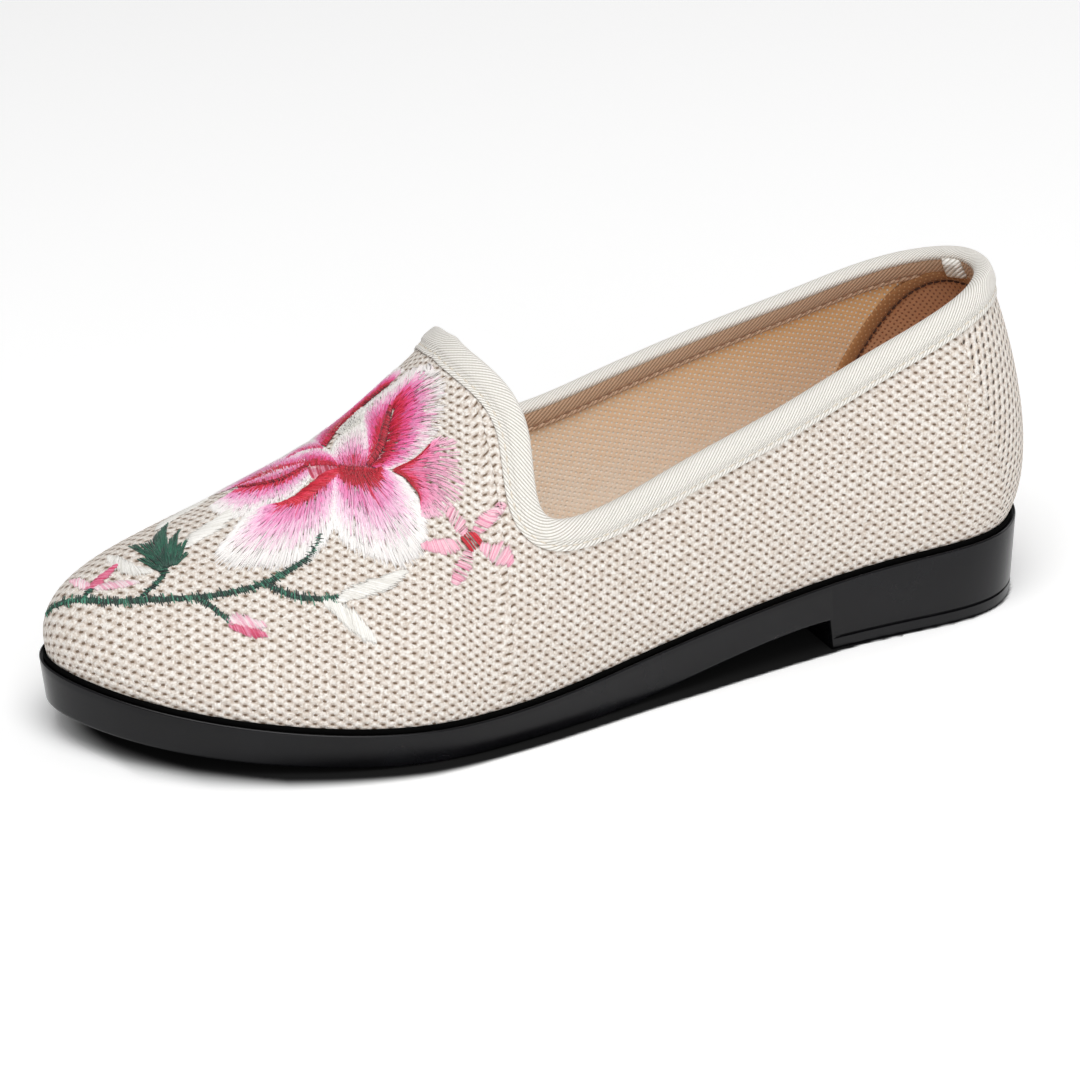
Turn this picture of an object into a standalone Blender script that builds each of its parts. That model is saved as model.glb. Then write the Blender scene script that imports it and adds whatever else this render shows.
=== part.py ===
"""A woman's Chinese cloth shoe for the left foot: a slip-on of knitted mesh on a moulded rubber sole.

+X points to the toe, +Y to the outer side of the foot and +Z up, with the floor at Z = 0 and the
origin under the middle of the shoe's box. Sizes are in metres. A station is a share of the sole's
length, counted from the back of the heel, and an offset is a share of the ball width.
"""

import math

import bmesh
import bpy
import numpy as np

# Driving sizes
SOLE_LENGTH = 0.248
BALL_WIDTH = 0.089
INSTEP_HEIGHT = 0.0834  # floor to the top of the vamp
HEEL_HEIGHT = 0.0214  # floor to the cloth's lower line at the back
FOREPART_THICKNESS = 0.0096  # floor to the cloth's lower line under the ball
TOE_SPRING = 0.0085  # floor to the tread at the toe tip
TOE_BUMPER = 0.0022  # extra height of the sole's side at the toe tip
ARCH_HEIGHT = 0.0080  # floor to the waist, in front of the heel

# Sole details
RIM_WIDTH = 0.0014  # land on top of the sole's side, outside the cloth
RIM_STEP = 0.0010  # how far the land lies under the cloth's lower line
CUP_DEPTH = 0.0032  # recess that takes the upper and the insole
SIDE_DRAFT = 0.0008  # how far the side leans in from rim to tread
TOE_DRAFT = 0.0014  # extra lean of the side at the toe
EDGE_ROUND = 0.0008  # rounded edges of the side
LIFT_HEIGHT = 0.0034  # moulded top piece under the heel
GROOVE_WIDTH = 0.0007
GROOVE_DEPTH = 0.0006
BREAST_STATION = 0.245
BREAST_RAKE = 0.0012
TREAD_START = 0.52
TREAD_END = 0.66

# Upper, binding and insole
UPPER_WALL = 0.0018  # knitted mesh, foam and lining together
PIECE_GAP = 0.0003
BINDING_GAP = 0.0004
BINDING_THICKNESS = 0.0008
BINDING_DROP = 0.0062  # how far the tape covers each face of the upper
INSOLE_THICKNESS = 0.0042
INSOLE_ROUND = 0.0010

# Ridge stations that the first and the last rib run to, and the foot of the rib at the vamp's top
FAN_HEEL = 0.16
FAN_TOE = 0.86
THROAT_FOOT = 0.610

# Mesh density
QUARTER_RIBS = 38
TOE_RIBS = 16
RIB_ROWS = 13
BINDING_ROWS = 4
SOLE_HEEL_RIBS = 9
SOLE_FRONT_RIBS = 22
DENSE = 2400

# The last, rib by rib round its lower edge. Rise and spread place a rib's lower handle over the
# edge, as shares of the instep height and the ball width. Reach is the length of its upper
# handle, which leaves the ridge, as a share of the ball width.
RIB_COLUMNS = ("name", "station", "offset", "rise", "spread", "reach")
RIBS = (
    ("heel back", 0.000, 0.045, 0.30, 0.125, 0.26),
    ("heel corner, outer", 0.045, 0.282, 0.30, 0.145, 0.26),
    ("heel side, outer", 0.160, 0.340, 0.34, 0.070, 0.25),
    ("waist rear, outer", 0.320, 0.375, 0.38, 0.062, 0.25),
    ("waist, outer", 0.460, 0.434, 0.38, 0.038, 0.27),
    ("joint rear, outer", 0.580, 0.500, 0.31, 0.043, 0.30),
    ("ball, outer", 0.700, 0.524, 0.26, 0.036, 0.27),
    ("small toe", 0.820, 0.440, 0.22, 0.030, 0.25),
    ("toe corner, outer", 0.920, 0.290, 0.22, 0.040, 0.19),
    ("toe, outer", 0.975, 0.138, 0.22, 0.048, 0.15),
    ("toe tip", 1.000, -0.039, 0.22, 0.055, 0.13),
    ("toe, inner", 0.975, -0.207, 0.22, 0.048, 0.15),
    ("big toe", 0.920, -0.330, 0.22, 0.040, 0.19),
    ("toe joint, inner", 0.820, -0.420, 0.22, 0.030, 0.25),
    ("ball, inner", 0.700, -0.455, 0.26, 0.036, 0.27),
    ("joint rear, inner", 0.580, -0.412, 0.31, 0.043, 0.30),
    ("waist, inner", 0.460, -0.330, 0.38, 0.038, 0.27),
    ("waist rear, inner", 0.320, -0.297, 0.38, 0.062, 0.25),
    ("heel side, inner", 0.160, -0.305, 0.34, 0.070, 0.25),
    ("heel corner, inner", 0.045, -0.215, 0.30, 0.145, 0.26),
)

# The ridge along the top of the last, its height as a share of the instep height. Behind the
# vamp it is the last's own top, which no piece reaches.
RIDGE_COLUMNS = ("name", "station", "height", "offset")
RIDGE = (
    ("cone back", 0.16, 1.42, 0.00),
    ("cone middle", 0.34, 1.32, -0.01),
    ("cone front", 0.48, 1.18, -0.02),
    ("vamp top", 0.587, 0.99, -0.02),
    ("vamp", 0.66, 0.815, -0.02),
    ("toe joint", 0.74, 0.69, -0.02),
    ("toe box", 0.80, 0.62, -0.03),
    ("toe end", 0.86, 0.56, -0.035),
)

# Height of the seat over the forepart, as a share of the heel's extra height.
SEAT_COLUMNS = ("name", "station", "height")
SEAT = (
    ("back", 0.00, 1.00),
    ("seat", 0.12, 0.94),
    ("breast", 0.25, 0.78),
    ("waist rear", 0.35, 0.56),
    ("waist", 0.45, 0.30),
    ("waist front", 0.54, 0.09),
    ("tread", 0.62, 0.00),
    ("joint", 0.75, 0.00),
    ("tip", 1.00, 0.00),
)

# The topline from the vamp's top to the back: the foot of the rib that it crosses, and how far
# up that rib it lies on the outer and on the inner side.
TOPLINE_COLUMNS = ("name", "foot station", "outer share", "inner share")
TOPLINE = (
    ("vamp top", 0.610, 1.00, 1.00),
    ("tongue corner", 0.587, 0.79, 0.79),
    ("throat side", 0.569, 0.61, 0.60),
    ("throat corner", 0.562, 0.412, 0.44),
    ("collar front", 0.500, 0.356, 0.358),
    ("collar", 0.400, 0.359, 0.360),
    ("collar rear", 0.270, 0.394, 0.398),
    ("quarter", 0.140, 0.458, 0.438),
    ("heel corner", 0.045, 0.512, 0.484),
    ("back", 0.000, 0.513, 0.513),
)

FINISHES = {
    "knit_cream": ((0.78, 0.70, 0.60), 0.90),
    "twill_white": ((0.84, 0.80, 0.72), 0.80),
    "rubber_black": ((0.025, 0.025, 0.028), 0.25),
    "footbed_tan": ((0.66, 0.50, 0.36), 0.85),
}


def spline(at, knots, values, closed=False):
    """Cubic through the values at the knots, whose bend runs on from stretch to stretch."""
    knots = np.asarray(knots, float)
    values = np.asarray(values, float)
    step = np.diff(knots)
    slope = np.diff(values, axis=0) / step[:, None]
    count = len(knots)
    system = np.eye(count)
    right = np.zeros_like(values)
    for i in range(1, count - 1):
        system[i, i - 1 : i + 2] = step[i - 1], 2 * (step[i - 1] + step[i]), step[i]
        right[i] = 6 * (slope[i] - slope[i - 1])
    if closed:
        system[0, [0, 1, -2]] = 2 * (step[-1] + step[0]), step[0], step[-1]
        right[0] = 6 * (slope[0] - slope[-1])
        system[-1, [0, -1]] = 1, -1
    bend = np.linalg.solve(system, right)
    i = np.clip(np.searchsorted(knots, at, side="right") - 1, 0, count - 2)
    width = step[i][:, None]
    before = (np.asarray(at) - knots[i])[:, None]
    after = width - before
    return (
        (bend[i] * after**3 + bend[i + 1] * before**3) / (6 * width)
        + (values[i] / width - bend[i] * width / 6) * after
        + (values[i + 1] / width - bend[i + 1] * width / 6) * before
    )


def numbers(table):
    return np.array([row[1:] for row in table], float)


def smoothstep(share):
    share = np.clip(share, 0.0, 1.0)
    return share * share * (3 - 2 * share)


def unit(vectors):
    return vectors / np.linalg.norm(vectors, axis=-1, keepdims=True)


def turn_at(station):
    """The turn, 0 at the back and 1 at the tip, whose ribs are close together at both ends."""
    return np.arccos(1 - 2 * np.clip(station, 0.0, 1.0)) / np.pi


def station_at(turn):
    return (1 - np.cos(np.pi * np.asarray(turn, float))) / 2


def rim_height(station):
    """Height of the cloth's lower line: the seat's rise, and the toe's spring and bumper."""
    rows = numbers(SEAT)
    seat = spline(np.asarray(station, float), rows[:, 0], rows[:, 1:])[:, 0]
    tip = np.clip((station - TREAD_END) / (1 - TREAD_END), 0, 1)
    rise = seat * (HEEL_HEIGHT - FOREPART_THICKNESS)
    return FOREPART_THICKNESS + rise + tip**2 * (TOE_SPRING + TOE_BUMPER)


def tread_height(station):
    """Height of the underside in front of the heel: the arch, the flat tread, the toe spring."""
    arch = smoothstep((TREAD_START - station) / (TREAD_START - BREAST_STATION))
    tip = np.clip((station - TREAD_END) / (1 - TREAD_END), 0, 1)
    return ARCH_HEIGHT * arch + TOE_SPRING * tip**2


class Last:
    """The form that the shoe is built on, a fan of ribs from its lower edge up to a ridge.

    A rib has a signed turn: positive turns lie on the outer side, negative ones on the inner.
    """

    def __init__(self):
        rows = numbers(RIBS) * (SOLE_LENGTH, BALL_WIDTH, INSTEP_HEIGHT, BALL_WIDTH, BALL_WIDTH)
        rows = np.vstack([rows, rows[:1]])
        knots = np.cumsum(np.hypot(*np.diff(rows[:, :2], axis=0, prepend=rows[:1, :2]).T))
        ring = spline(np.linspace(0, knots[-1], DENSE + 1)[:-1], knots, rows, closed=True)
        ring = np.roll(ring, -int(np.argmin(ring[:, 0])), axis=0)
        tip = int(np.argmax(ring[:, 0]))
        run = unit(np.roll(ring[:, :2], -1, axis=0) - np.roll(ring[:, :2], 1, axis=0))
        ring = np.hstack([ring, -run[:, 1:], run[:, :1]])
        self.back, self.front = ring[0, 0], ring[tip, 0]
        self.sides = (ring[: tip + 1], np.vstack([ring[:1], ring[tip:][::-1]]))
        self.ridge_rows = numbers(RIDGE) * (SOLE_LENGTH, INSTEP_HEIGHT, BALL_WIDTH)

    def edge(self, turn):
        """Edge point, rise, spread, reach and outward direction, one row for every turn."""
        turn = np.asarray(turn, float)
        x = self.back + station_at(turn) * (self.front - self.back)
        found = []
        for line in self.sides:
            found.append(np.stack([np.interp(x, line[:, 0], line[:, k]) for k in range(7)], axis=-1))
        return np.where(turn[:, None] >= 0, found[0], found[1])

    def ridge(self, station):
        """Points on the ridge and their unit directions towards the toe."""
        reach = 0.0005
        found = []
        for x in (station * SOLE_LENGTH + s * reach for s in (-1, 0, 1)):
            height, offset = spline(x, self.ridge_rows[:, 0], self.ridge_rows[:, 1:]).T
            found.append(np.column_stack([x, offset, height]))
        return found[1], unit(found[2] - found[0])

    def skin(self, turn, share):
        """Points on the last. Share 0 is the lower edge and share 1 the ridge.

        A rib is one cubic curve. Its lower handle stands over the edge and leans outwards. Its
        upper handle leaves the ridge along the ridge's slope towards the toe and the heel and
        level towards the sides, so that the skin runs on smoothly across the ridge.
        """
        turn = (np.asarray(turn, float) + 1) % 2 - 1
        t = np.asarray(share, float)[:, None]
        rows = self.edge(turn)
        station = station_at(turn)
        out = rows[:, 5:7]
        low = np.column_stack([rows[:, :2] - out * (RIM_WIDTH + PIECE_GAP), rim_height(station)])
        lower = low + np.column_stack([out * rows[:, 3:4], rows[:, 2]])
        top, slope = self.ridge(FAN_HEEL + (FAN_TOE - FAN_HEEL) * station)
        away = unit((low - top)[:, :2])
        upper = top + (away[:, :1] * slope + away[:, 1:] * (0.0, 1.0, 0.0)) * rows[:, 4:5]
        return (
            (1 - t) ** 3 * low
            + 3 * (1 - t) ** 2 * t * lower
            + 3 * (1 - t) * t**2 * upper
            + t**3 * top
        )

    def slopes(self, turn, share, step=0.002):
        """Change of the skin's point with the turn and with the share."""
        along = self.skin(turn + step, share) - self.skin(turn - step, share)
        up = self.skin(turn, share) - self.skin(turn, share - step)
        return along / (2 * step), up / step

    def normal(self, turn, share):
        """Unit vectors out of the skin. On the ridge both sides share one of them."""
        along, up = self.slopes(turn, share)
        out = np.cross(up, along)
        top = share > 0.999
        slope = self.ridge(FAN_HEEL + (FAN_TOE - FAN_HEEL) * station_at(turn[top]))[1]
        out[top] = np.cross(slope, (0.0, 1.0, 0.0))
        return unit(out)


def topline(last, count):
    """Signed turns and shares along the whole edge of the opening, from the back along the
    outer side to the vamp's top and home along the inner side."""
    size = np.array([SOLE_LENGTH, INSTEP_HEIGHT])
    halves = []
    for column in (1, 2):
        rows = numbers(TOPLINE)[::-1, [0, column]]
        rows[:, 0] = turn_at(rows[:, 0])
        before = rows[1] * (-1, 1)
        after = (rows[-2, 0], 2 - rows[-2, 1])
        rows = np.vstack([before, rows, after])
        knots = np.cumsum(np.hypot(*np.diff(rows * size, axis=0, prepend=rows[:1] * size).T))
        dense = spline(np.linspace(knots[1], knots[-2], DENSE), knots, rows)
        side = 1 if column == 1 else -1
        points = last.skin(dense[:, 0] * side, dense[:, 1])
        run = np.cumsum(np.linalg.norm(np.diff(points, axis=0, prepend=points[:1]), axis=1))
        at = np.linspace(0, run[-1], count)
        halves.append(np.column_stack([np.interp(at, run, dense[:, k]) for k in range(2)]))
        halves[-1][0, 0] = 0.0
        halves[-1][-1] = rows[-2]
    return halves


def grid_faces(rows, columns, first=0):
    faces = []
    for i in range(rows - 1):
        for j in range(columns - 1):
            a = first + i * columns + j
            faces.append((a, a + 1, a + columns + 1, a + columns))
    return faces


def ring_faces(rings, size, first=0, closed=False):
    """Faces between rings of equal size, which are stored one after another."""
    faces = []
    for i in range(rings if closed else rings - 1):
        for j in range(size):
            a, b = first + i * size, first + (i + 1) % rings * size
            k = (j + 1) % size
            faces.append((a + j, a + k, b + k, b + j))
    return faces


def cap_faces(first, size):
    """Strips across a ring that starts at the back and has its two sides at equal stations."""
    faces = []
    half = size // 2
    for j in range(half):
        a, b = first + j, first + j + 1
        c, d = first + (size - j - 1) % size, first + (size - j) % size
        corners = [a, b] + [k for k in (c, d) if k not in (a, b)]
        faces.append(tuple(corners))
    return faces


def new_piece(name, points, faces, material, sharp_deg=40):
    """Joins points that meet, turns the faces outwards and gives the piece its own material."""
    work = bmesh.new()
    corners = [work.verts.new(tuple(p)) for p in points]
    for face in faces:
        work.faces.new([corners[k] for k in face])
    bmesh.ops.remove_doubles(work, verts=work.verts, dist=2e-5)
    bmesh.ops.dissolve_degenerate(work, edges=work.edges, dist=1e-6)
    bmesh.ops.recalc_face_normals(work, faces=work.faces)
    mesh = bpy.data.meshes.new(name)
    work.to_mesh(mesh)
    work.free()
    (red, green, blue), roughness = FINISHES[material]
    made = bpy.data.materials.new(material)
    made.use_nodes = True
    shader = made.node_tree.nodes["Principled BSDF"]
    shader.inputs["Base Color"].default_value = (red, green, blue, 1)
    shader.inputs["Roughness"].default_value = roughness
    mesh.materials.append(made)
    mesh.shade_smooth()
    mesh.set_sharp_from_angle(angle=math.radians(sharp_deg))
    piece = bpy.data.objects.new(name, mesh)
    bpy.context.scene.collection.objects.link(piece)
    return piece


def upper_sheet(last, side, edge):
    """Outer and inner points of one side of the upper, as rows from the skirt in the sole's cup
    up to the topline and the ridge."""
    foot = turn_at(THROAT_FOOT) * np.sin(np.linspace(0, 1, QUARTER_RIBS) * np.pi / 2) ** 0.94
    toe = np.linspace(turn_at(THROAT_FOOT), 1.0, TOE_RIBS + 1)[1:]
    feet = np.concatenate([foot, toe])
    tops = np.concatenate([edge[:, 0], toe])
    shares = np.concatenate([edge[:, 1], np.ones(TOE_RIBS)])
    outer, inner = [], []
    for t in np.linspace(0, 1, RIB_ROWS):
        turn = side * (feet + (tops - feet) * t**1.3)
        share = shares * t
        points = last.skin(turn, share)
        normal = last.normal(turn, share)
        if t == 0:
            level = np.column_stack([last.edge(turn)[:, 5:7], np.zeros(len(turn))])
            skirt = points - (0.0, 0.0, CUP_DEPTH - PIECE_GAP)
            outer.append(skirt)
            inner.append(skirt - level * UPPER_WALL)
            normal = level
        outer.append(points)
        inner.append(points - normal * UPPER_WALL)
    return np.array(outer), np.array(inner)


def build_upper(last, halves):
    """One hollow piece, open at the collar and underneath, with its real wall."""
    points, faces = [], []
    count = 0
    for side, edge in zip((1, -1), halves):
        outer, inner = upper_sheet(last, side, edge)
        rows, columns = outer.shape[:2]
        points += [outer.reshape(-1, 3), inner.reshape(-1, 3)]
        shift = rows * columns
        faces += grid_faces(rows, columns, count)
        faces += grid_faces(rows, columns, count + shift)
        for j in range(columns - 1):
            a = count + j
            faces.append((a, a + 1, a + shift + 1, a + shift))
        for j in range(QUARTER_RIBS - 1):
            a = count + (rows - 1) * columns + j
            faces.append((a, a + 1, a + shift + 1, a + shift))
        count += 2 * shift
    return new_piece("upper", np.vstack(points), faces, "knit_cream")


def down_the_skin(last, turn, share, away, distance, steps=4):
    """Walks over the skin from every edge point in the direction away from the edge."""
    for _ in range(steps):
        along, up = last.slopes(turn, share)
        flat = np.stack([along, up], axis=-1)
        move = np.einsum("nij,nj->ni", np.linalg.pinv(flat), away * distance / steps)
        turn, share = turn + move[:, 0], share + move[:, 1]
    return turn, share


def build_binding(last, halves):
    """Tape folded over the edge of the opening, with one leg on each face of the upper."""
    outer, inner = halves
    turn = np.concatenate([outer[:, 0], -inner[-2:0:-1, 0]])
    share = np.concatenate([outer[:, 1], inner[-2:0:-1, 1]])
    edge = last.skin(turn, share)
    run = unit(np.roll(edge, -1, axis=0) - np.roll(edge, 1, axis=0))
    normal = last.normal(turn, share)
    away = unit(np.cross(normal, run))
    legs = []
    for drop in np.linspace(0, BINDING_DROP, BINDING_ROWS):
        at = down_the_skin(last, turn, share, away, drop)
        legs.append((last.skin(*at), last.normal(*at)))
    near, far = BINDING_GAP, BINDING_GAP + BINDING_THICKNESS
    section = [point + out * far for point, out in legs[::-1]]
    middle = edge - normal * UPPER_WALL / 2
    for angle in np.radians((45, 90, 135)):
        side = UPPER_WALL / 2 + far
        section.append(middle + normal * side * np.cos(angle) - away * far * np.sin(angle))
    section += [point - out * (UPPER_WALL + far) for point, out in legs]
    section += [point - out * (UPPER_WALL + near) for point, out in legs[:0:-1]]
    section.append(edge - normal * (UPPER_WALL + near) - away * near)
    section.append(edge + normal * near - away * near)
    section += [point + out * near for point, out in legs[1:]]
    points = np.array(section).transpose(1, 0, 2)
    faces = ring_faces(len(points), len(section), closed=True)
    return new_piece("collar_binding", points.reshape(-1, 3), faces, "twill_white")


def sole_turns():
    """Turns of the sole's ribs, with two of them at the breast of the heel."""
    breast = BREAST_STATION + BREAST_RAKE / SOLE_LENGTH
    heel = np.linspace(0, turn_at(BREAST_STATION), SOLE_HEEL_RIBS)
    front = np.linspace(turn_at(breast), 1, SOLE_FRONT_RIBS)
    return np.concatenate([heel, front]), np.arange(SOLE_HEEL_RIBS + SOLE_FRONT_RIBS) < SOLE_HEEL_RIBS


def outline(last, turns, inset, height):
    """Ring from the back along the outer side to the tip and home along the inner side."""
    ring = []
    inset = np.broadcast_to(inset, turns.shape)
    height = np.broadcast_to(height, turns.shape)
    for side in (1, -1):
        rows = last.edge(turns * side if side > 0 else np.minimum(-turns, -1e-9))
        block = np.column_stack([rows[:, :2] - rows[:, 5:7] * inset[:, None], height])
        ring.append(block if side > 0 else block[-2:0:-1])
    return np.vstack(ring)


def build_outsole(last):
    """Unit sole: cup, rim, drafted side, grooved heel with its breast, arch, tread and spring."""
    turns, heel = sole_turns()
    station = station_at(turns)
    rim = rim_height(station)
    land = rim - RIM_STEP
    tread = np.where(heel, 0.0, tread_height(station))
    draft = SIDE_DRAFT + TOE_DRAFT * np.clip((station - TREAD_END) / (1 - TREAD_END), 0, 1)
    low, high = tread + EDGE_ROUND, land - EDGE_ROUND / 2

    def wall(share, groove, deeper=0.0):
        """Inset and height of a row on the side: a share of its height, or at the heel's groove."""
        height = np.where(heel, LIFT_HEIGHT + groove * GROOVE_WIDTH / 2, low + (high - low) * share)
        return draft * (high - height) / (high - tread) + np.where(heel, deeper, 0.0), height

    rings = [
        (draft + EDGE_ROUND, tread),
        (draft + EDGE_ROUND * 0.3, tread + EDGE_ROUND * 0.3),
        (draft, low),
        wall(0.2, -1),
        wall(0.4, -1, GROOVE_DEPTH),
        wall(0.6, 1, GROOVE_DEPTH),
        wall(0.8, 1),
        (0.0, high),
        (EDGE_ROUND / 2, land),
        (RIM_WIDTH, land),
        (RIM_WIDTH, rim - CUP_DEPTH),
    ]
    points = [outline(last, turns, inset, height) for inset, height in rings]
    size = len(points[0])
    faces = ring_faces(len(rings), size)
    faces += cap_faces(0, size) + cap_faces((len(rings) - 1) * size, size)
    return new_piece("outsole", np.vstack(points), faces, "rubber_black", 30)


def build_insole(last):
    """Footbed that lies in the sole's cup inside the upper."""
    turns = np.linspace(0, 1, SOLE_HEEL_RIBS + SOLE_FRONT_RIBS)
    floor = rim_height(station_at(turns)) - CUP_DEPTH + PIECE_GAP
    inset = RIM_WIDTH + UPPER_WALL + 2 * PIECE_GAP
    rings = (
        (inset, floor),
        (inset, floor + INSOLE_THICKNESS - INSOLE_ROUND),
        (inset + INSOLE_ROUND * 0.3, floor + INSOLE_THICKNESS - INSOLE_ROUND * 0.3),
        (inset + INSOLE_ROUND, floor + INSOLE_THICKNESS),
    )
    points = [outline(last, turns, inset, height) for inset, height in rings]
    size = len(points[0])
    faces = ring_faces(len(rings), size)
    faces += cap_faces(0, size) + cap_faces((len(rings) - 1) * size, size)
    return new_piece("insole", np.vstack(points), faces, "footbed_tan", 30)


def centre_pieces(pieces):
    """Moves the whole shoe so that the origin lies under the middle of its box."""
    corners = np.array([vertex.co for piece in pieces for vertex in piece.data.vertices])
    middle = (corners.min(axis=0) + corners.max(axis=0)) / 2
    for piece in pieces:
        for vertex in piece.data.vertices:
            vertex.co.x -= middle[0]
            vertex.co.y -= middle[1]


def main():
    for old in list(bpy.data.objects):
        bpy.data.objects.remove(old)
    last = Last()
    halves = topline(last, QUARTER_RIBS)
    centre_pieces(
        [
            build_outsole(last),
            build_insole(last),
            build_upper(last, halves),
            build_binding(last, halves),
        ]
    )


main()
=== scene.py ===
# %% [markdown]
# # A Chinese cloth shoe
#
# A slip-on flat for the left foot: a knitted cream mesh over a foam lining, an ivory tape round
# the opening, a peony embroidered on the vamp and a moulded black rubber sole. The lesson works out
# each piece as a surface with numpy, and builds each finish from nodes.
#
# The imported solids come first. They fix where everything goes: +X points to the toe, +Y to the
# outer side of the foot, and the floor is Z = 0. All lengths are metres.

# %% Load the frame
import math

import bpy
import numpy as np
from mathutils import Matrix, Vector


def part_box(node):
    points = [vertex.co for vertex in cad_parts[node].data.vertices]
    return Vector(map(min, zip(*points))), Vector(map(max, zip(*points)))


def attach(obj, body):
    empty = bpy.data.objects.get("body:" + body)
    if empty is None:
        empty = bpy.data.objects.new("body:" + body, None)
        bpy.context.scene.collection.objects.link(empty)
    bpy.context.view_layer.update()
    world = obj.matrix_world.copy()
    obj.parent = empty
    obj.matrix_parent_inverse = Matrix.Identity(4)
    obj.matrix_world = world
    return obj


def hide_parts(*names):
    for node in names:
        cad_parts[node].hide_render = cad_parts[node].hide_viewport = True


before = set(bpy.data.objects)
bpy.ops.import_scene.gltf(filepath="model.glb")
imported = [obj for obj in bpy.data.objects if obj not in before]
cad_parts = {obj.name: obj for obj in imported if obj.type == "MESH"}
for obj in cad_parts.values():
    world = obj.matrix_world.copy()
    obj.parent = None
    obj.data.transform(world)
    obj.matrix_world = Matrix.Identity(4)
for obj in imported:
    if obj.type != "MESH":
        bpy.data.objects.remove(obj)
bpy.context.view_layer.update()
MM = 0.001

# %% [markdown]
# # The last
#
# A cloth shoe is sewn and glued round a last, a solid form of the foot. This one is a fan of ribs.
# Each rib starts on the sole's outline, stands up the side and ends on a ridge line along the top.
# One cubic curve per rib is enough, because its two handles say how upright the side is and how
# flat the top. A sculpted mesh would also do, but a formula gives the same surface at any density,
# so the cloth, the lining, the tape and the threads can all share it.

# %% Sizes of the shoe, in metres
SOLE_LENGTH = 0.248
BALL_WIDTH = 0.089
INSTEP_HEIGHT = 0.0834
HEEL_HEIGHT = 0.0214
FOREPART_THICKNESS = 0.0096
TOE_SPRING = 0.0085
TOE_BUMPER = 0.0022
ARCH_HEIGHT = 0.0080
RIM_WIDTH = 0.0014
RIM_STEP = 0.0010
CUP_DEPTH = 0.0032
PIECE_GAP = 0.0003
UPPER_WALL = 0.0018
BREAST_STATION = 0.245
TREAD_START, TREAD_END = 0.52, 0.66
FAN_HEEL, FAN_TOE, THROAT_FOOT = 0.16, 0.86, 0.610

# station, offset, rise, spread, reach of each rib, from the heel's back along the outer side
RIBS = np.array(
    [
        (0.000, 0.045, 0.30, 0.125, 0.26),
        (0.045, 0.282, 0.30, 0.145, 0.26),
        (0.160, 0.340, 0.34, 0.070, 0.25),
        (0.320, 0.375, 0.38, 0.062, 0.25),
        (0.460, 0.434, 0.38, 0.038, 0.27),
        (0.580, 0.500, 0.31, 0.043, 0.30),
        (0.700, 0.524, 0.26, 0.036, 0.27),
        (0.820, 0.440, 0.22, 0.030, 0.25),
        (0.920, 0.290, 0.22, 0.040, 0.19),
        (0.975, 0.138, 0.22, 0.048, 0.15),
        (1.000, -0.039, 0.22, 0.055, 0.13),
        (0.975, -0.207, 0.22, 0.048, 0.15),
        (0.920, -0.330, 0.22, 0.040, 0.19),
        (0.820, -0.420, 0.22, 0.030, 0.25),
        (0.700, -0.455, 0.26, 0.036, 0.27),
        (0.580, -0.412, 0.31, 0.043, 0.30),
        (0.460, -0.330, 0.38, 0.038, 0.27),
        (0.320, -0.297, 0.38, 0.062, 0.25),
        (0.160, -0.305, 0.34, 0.070, 0.25),
        (0.045, -0.215, 0.30, 0.145, 0.26),
    ]
)
# station, height, offset of the ridge
RIDGE = np.array(
    [
        (0.16, 1.42, 0.00),
        (0.34, 1.32, -0.01),
        (0.48, 1.18, -0.02),
        (0.587, 0.99, -0.02),
        (0.66, 0.815, -0.02),
        (0.74, 0.69, -0.02),
        (0.80, 0.62, -0.03),
        (0.86, 0.56, -0.035),
    ]
)
# station and height of the seat
SEAT = np.array(
    [
        (0.00, 1.00),
        (0.12, 0.94),
        (0.25, 0.78),
        (0.35, 0.56),
        (0.45, 0.30),
        (0.54, 0.09),
        (0.62, 0.00),
        (0.75, 0.00),
        (1.00, 0.00),
    ]
)
# foot station, share up the rib on the outer side and on the inner side, from the throat back
TOPLINE = np.array(
    [
        (0.610, 1.00, 1.00),
        (0.587, 0.79, 0.79),
        (0.569, 0.61, 0.60),
        (0.562, 0.412, 0.44),
        (0.500, 0.356, 0.358),
        (0.400, 0.359, 0.360),
        (0.270, 0.394, 0.398),
        (0.140, 0.458, 0.438),
        (0.045, 0.512, 0.484),
        (0.000, 0.513, 0.513),
    ]
)


# %% Curves through points
def spline(at, knots, values, closed=False):
    """Cubic on each stretch, with slope and bend carried on across the knots. The bends solve
    h0 b0 + 2(h0 + h1) b1 + h1 b2 = 6 (slope1 - slope0)."""
    knots, values = np.asarray(knots, float), np.asarray(values, float)
    step = np.diff(knots)
    slope = np.diff(values, axis=0) / step[:, None]
    count = len(knots)
    system, right = np.eye(count), np.zeros_like(values)
    for i in range(1, count - 1):
        system[i, i - 1 : i + 2] = step[i - 1], 2 * (step[i - 1] + step[i]), step[i]
        right[i] = 6 * (slope[i] - slope[i - 1])
    if closed:
        system[0, [0, 1, -2]] = 2 * (step[-1] + step[0]), step[0], step[-1]
        right[0] = 6 * (slope[0] - slope[-1])
        system[-1, [0, -1]] = 1, -1
    bend = np.linalg.solve(system, right)
    i = np.clip(np.searchsorted(knots, at, side="right") - 1, 0, count - 2)
    width = step[i][:, None]
    before = (np.asarray(at) - knots[i])[:, None]
    after = width - before
    return (
        (bend[i] * after**3 + bend[i + 1] * before**3) / (6 * width)
        + (values[i] / width - bend[i] * width / 6) * after
        + (values[i + 1] / width - bend[i + 1] * width / 6) * before
    )


def unit(vectors):
    """The same directions with length 1."""
    return vectors / np.linalg.norm(vectors, axis=-1, keepdims=True)


def smoothstep(low, high, value):
    """0 under low, 1 over high, and s^2 (3 - 2 s) between them."""
    share = np.clip((value - low) / (high - low), 0.0, 1.0)
    return share * share * (3 - 2 * share)


def between(at, knots, rows):
    """Rows of a table at places between its knots, on straight lines."""
    return np.stack([np.interp(at, knots, column) for column in rows.T], axis=-1)


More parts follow.
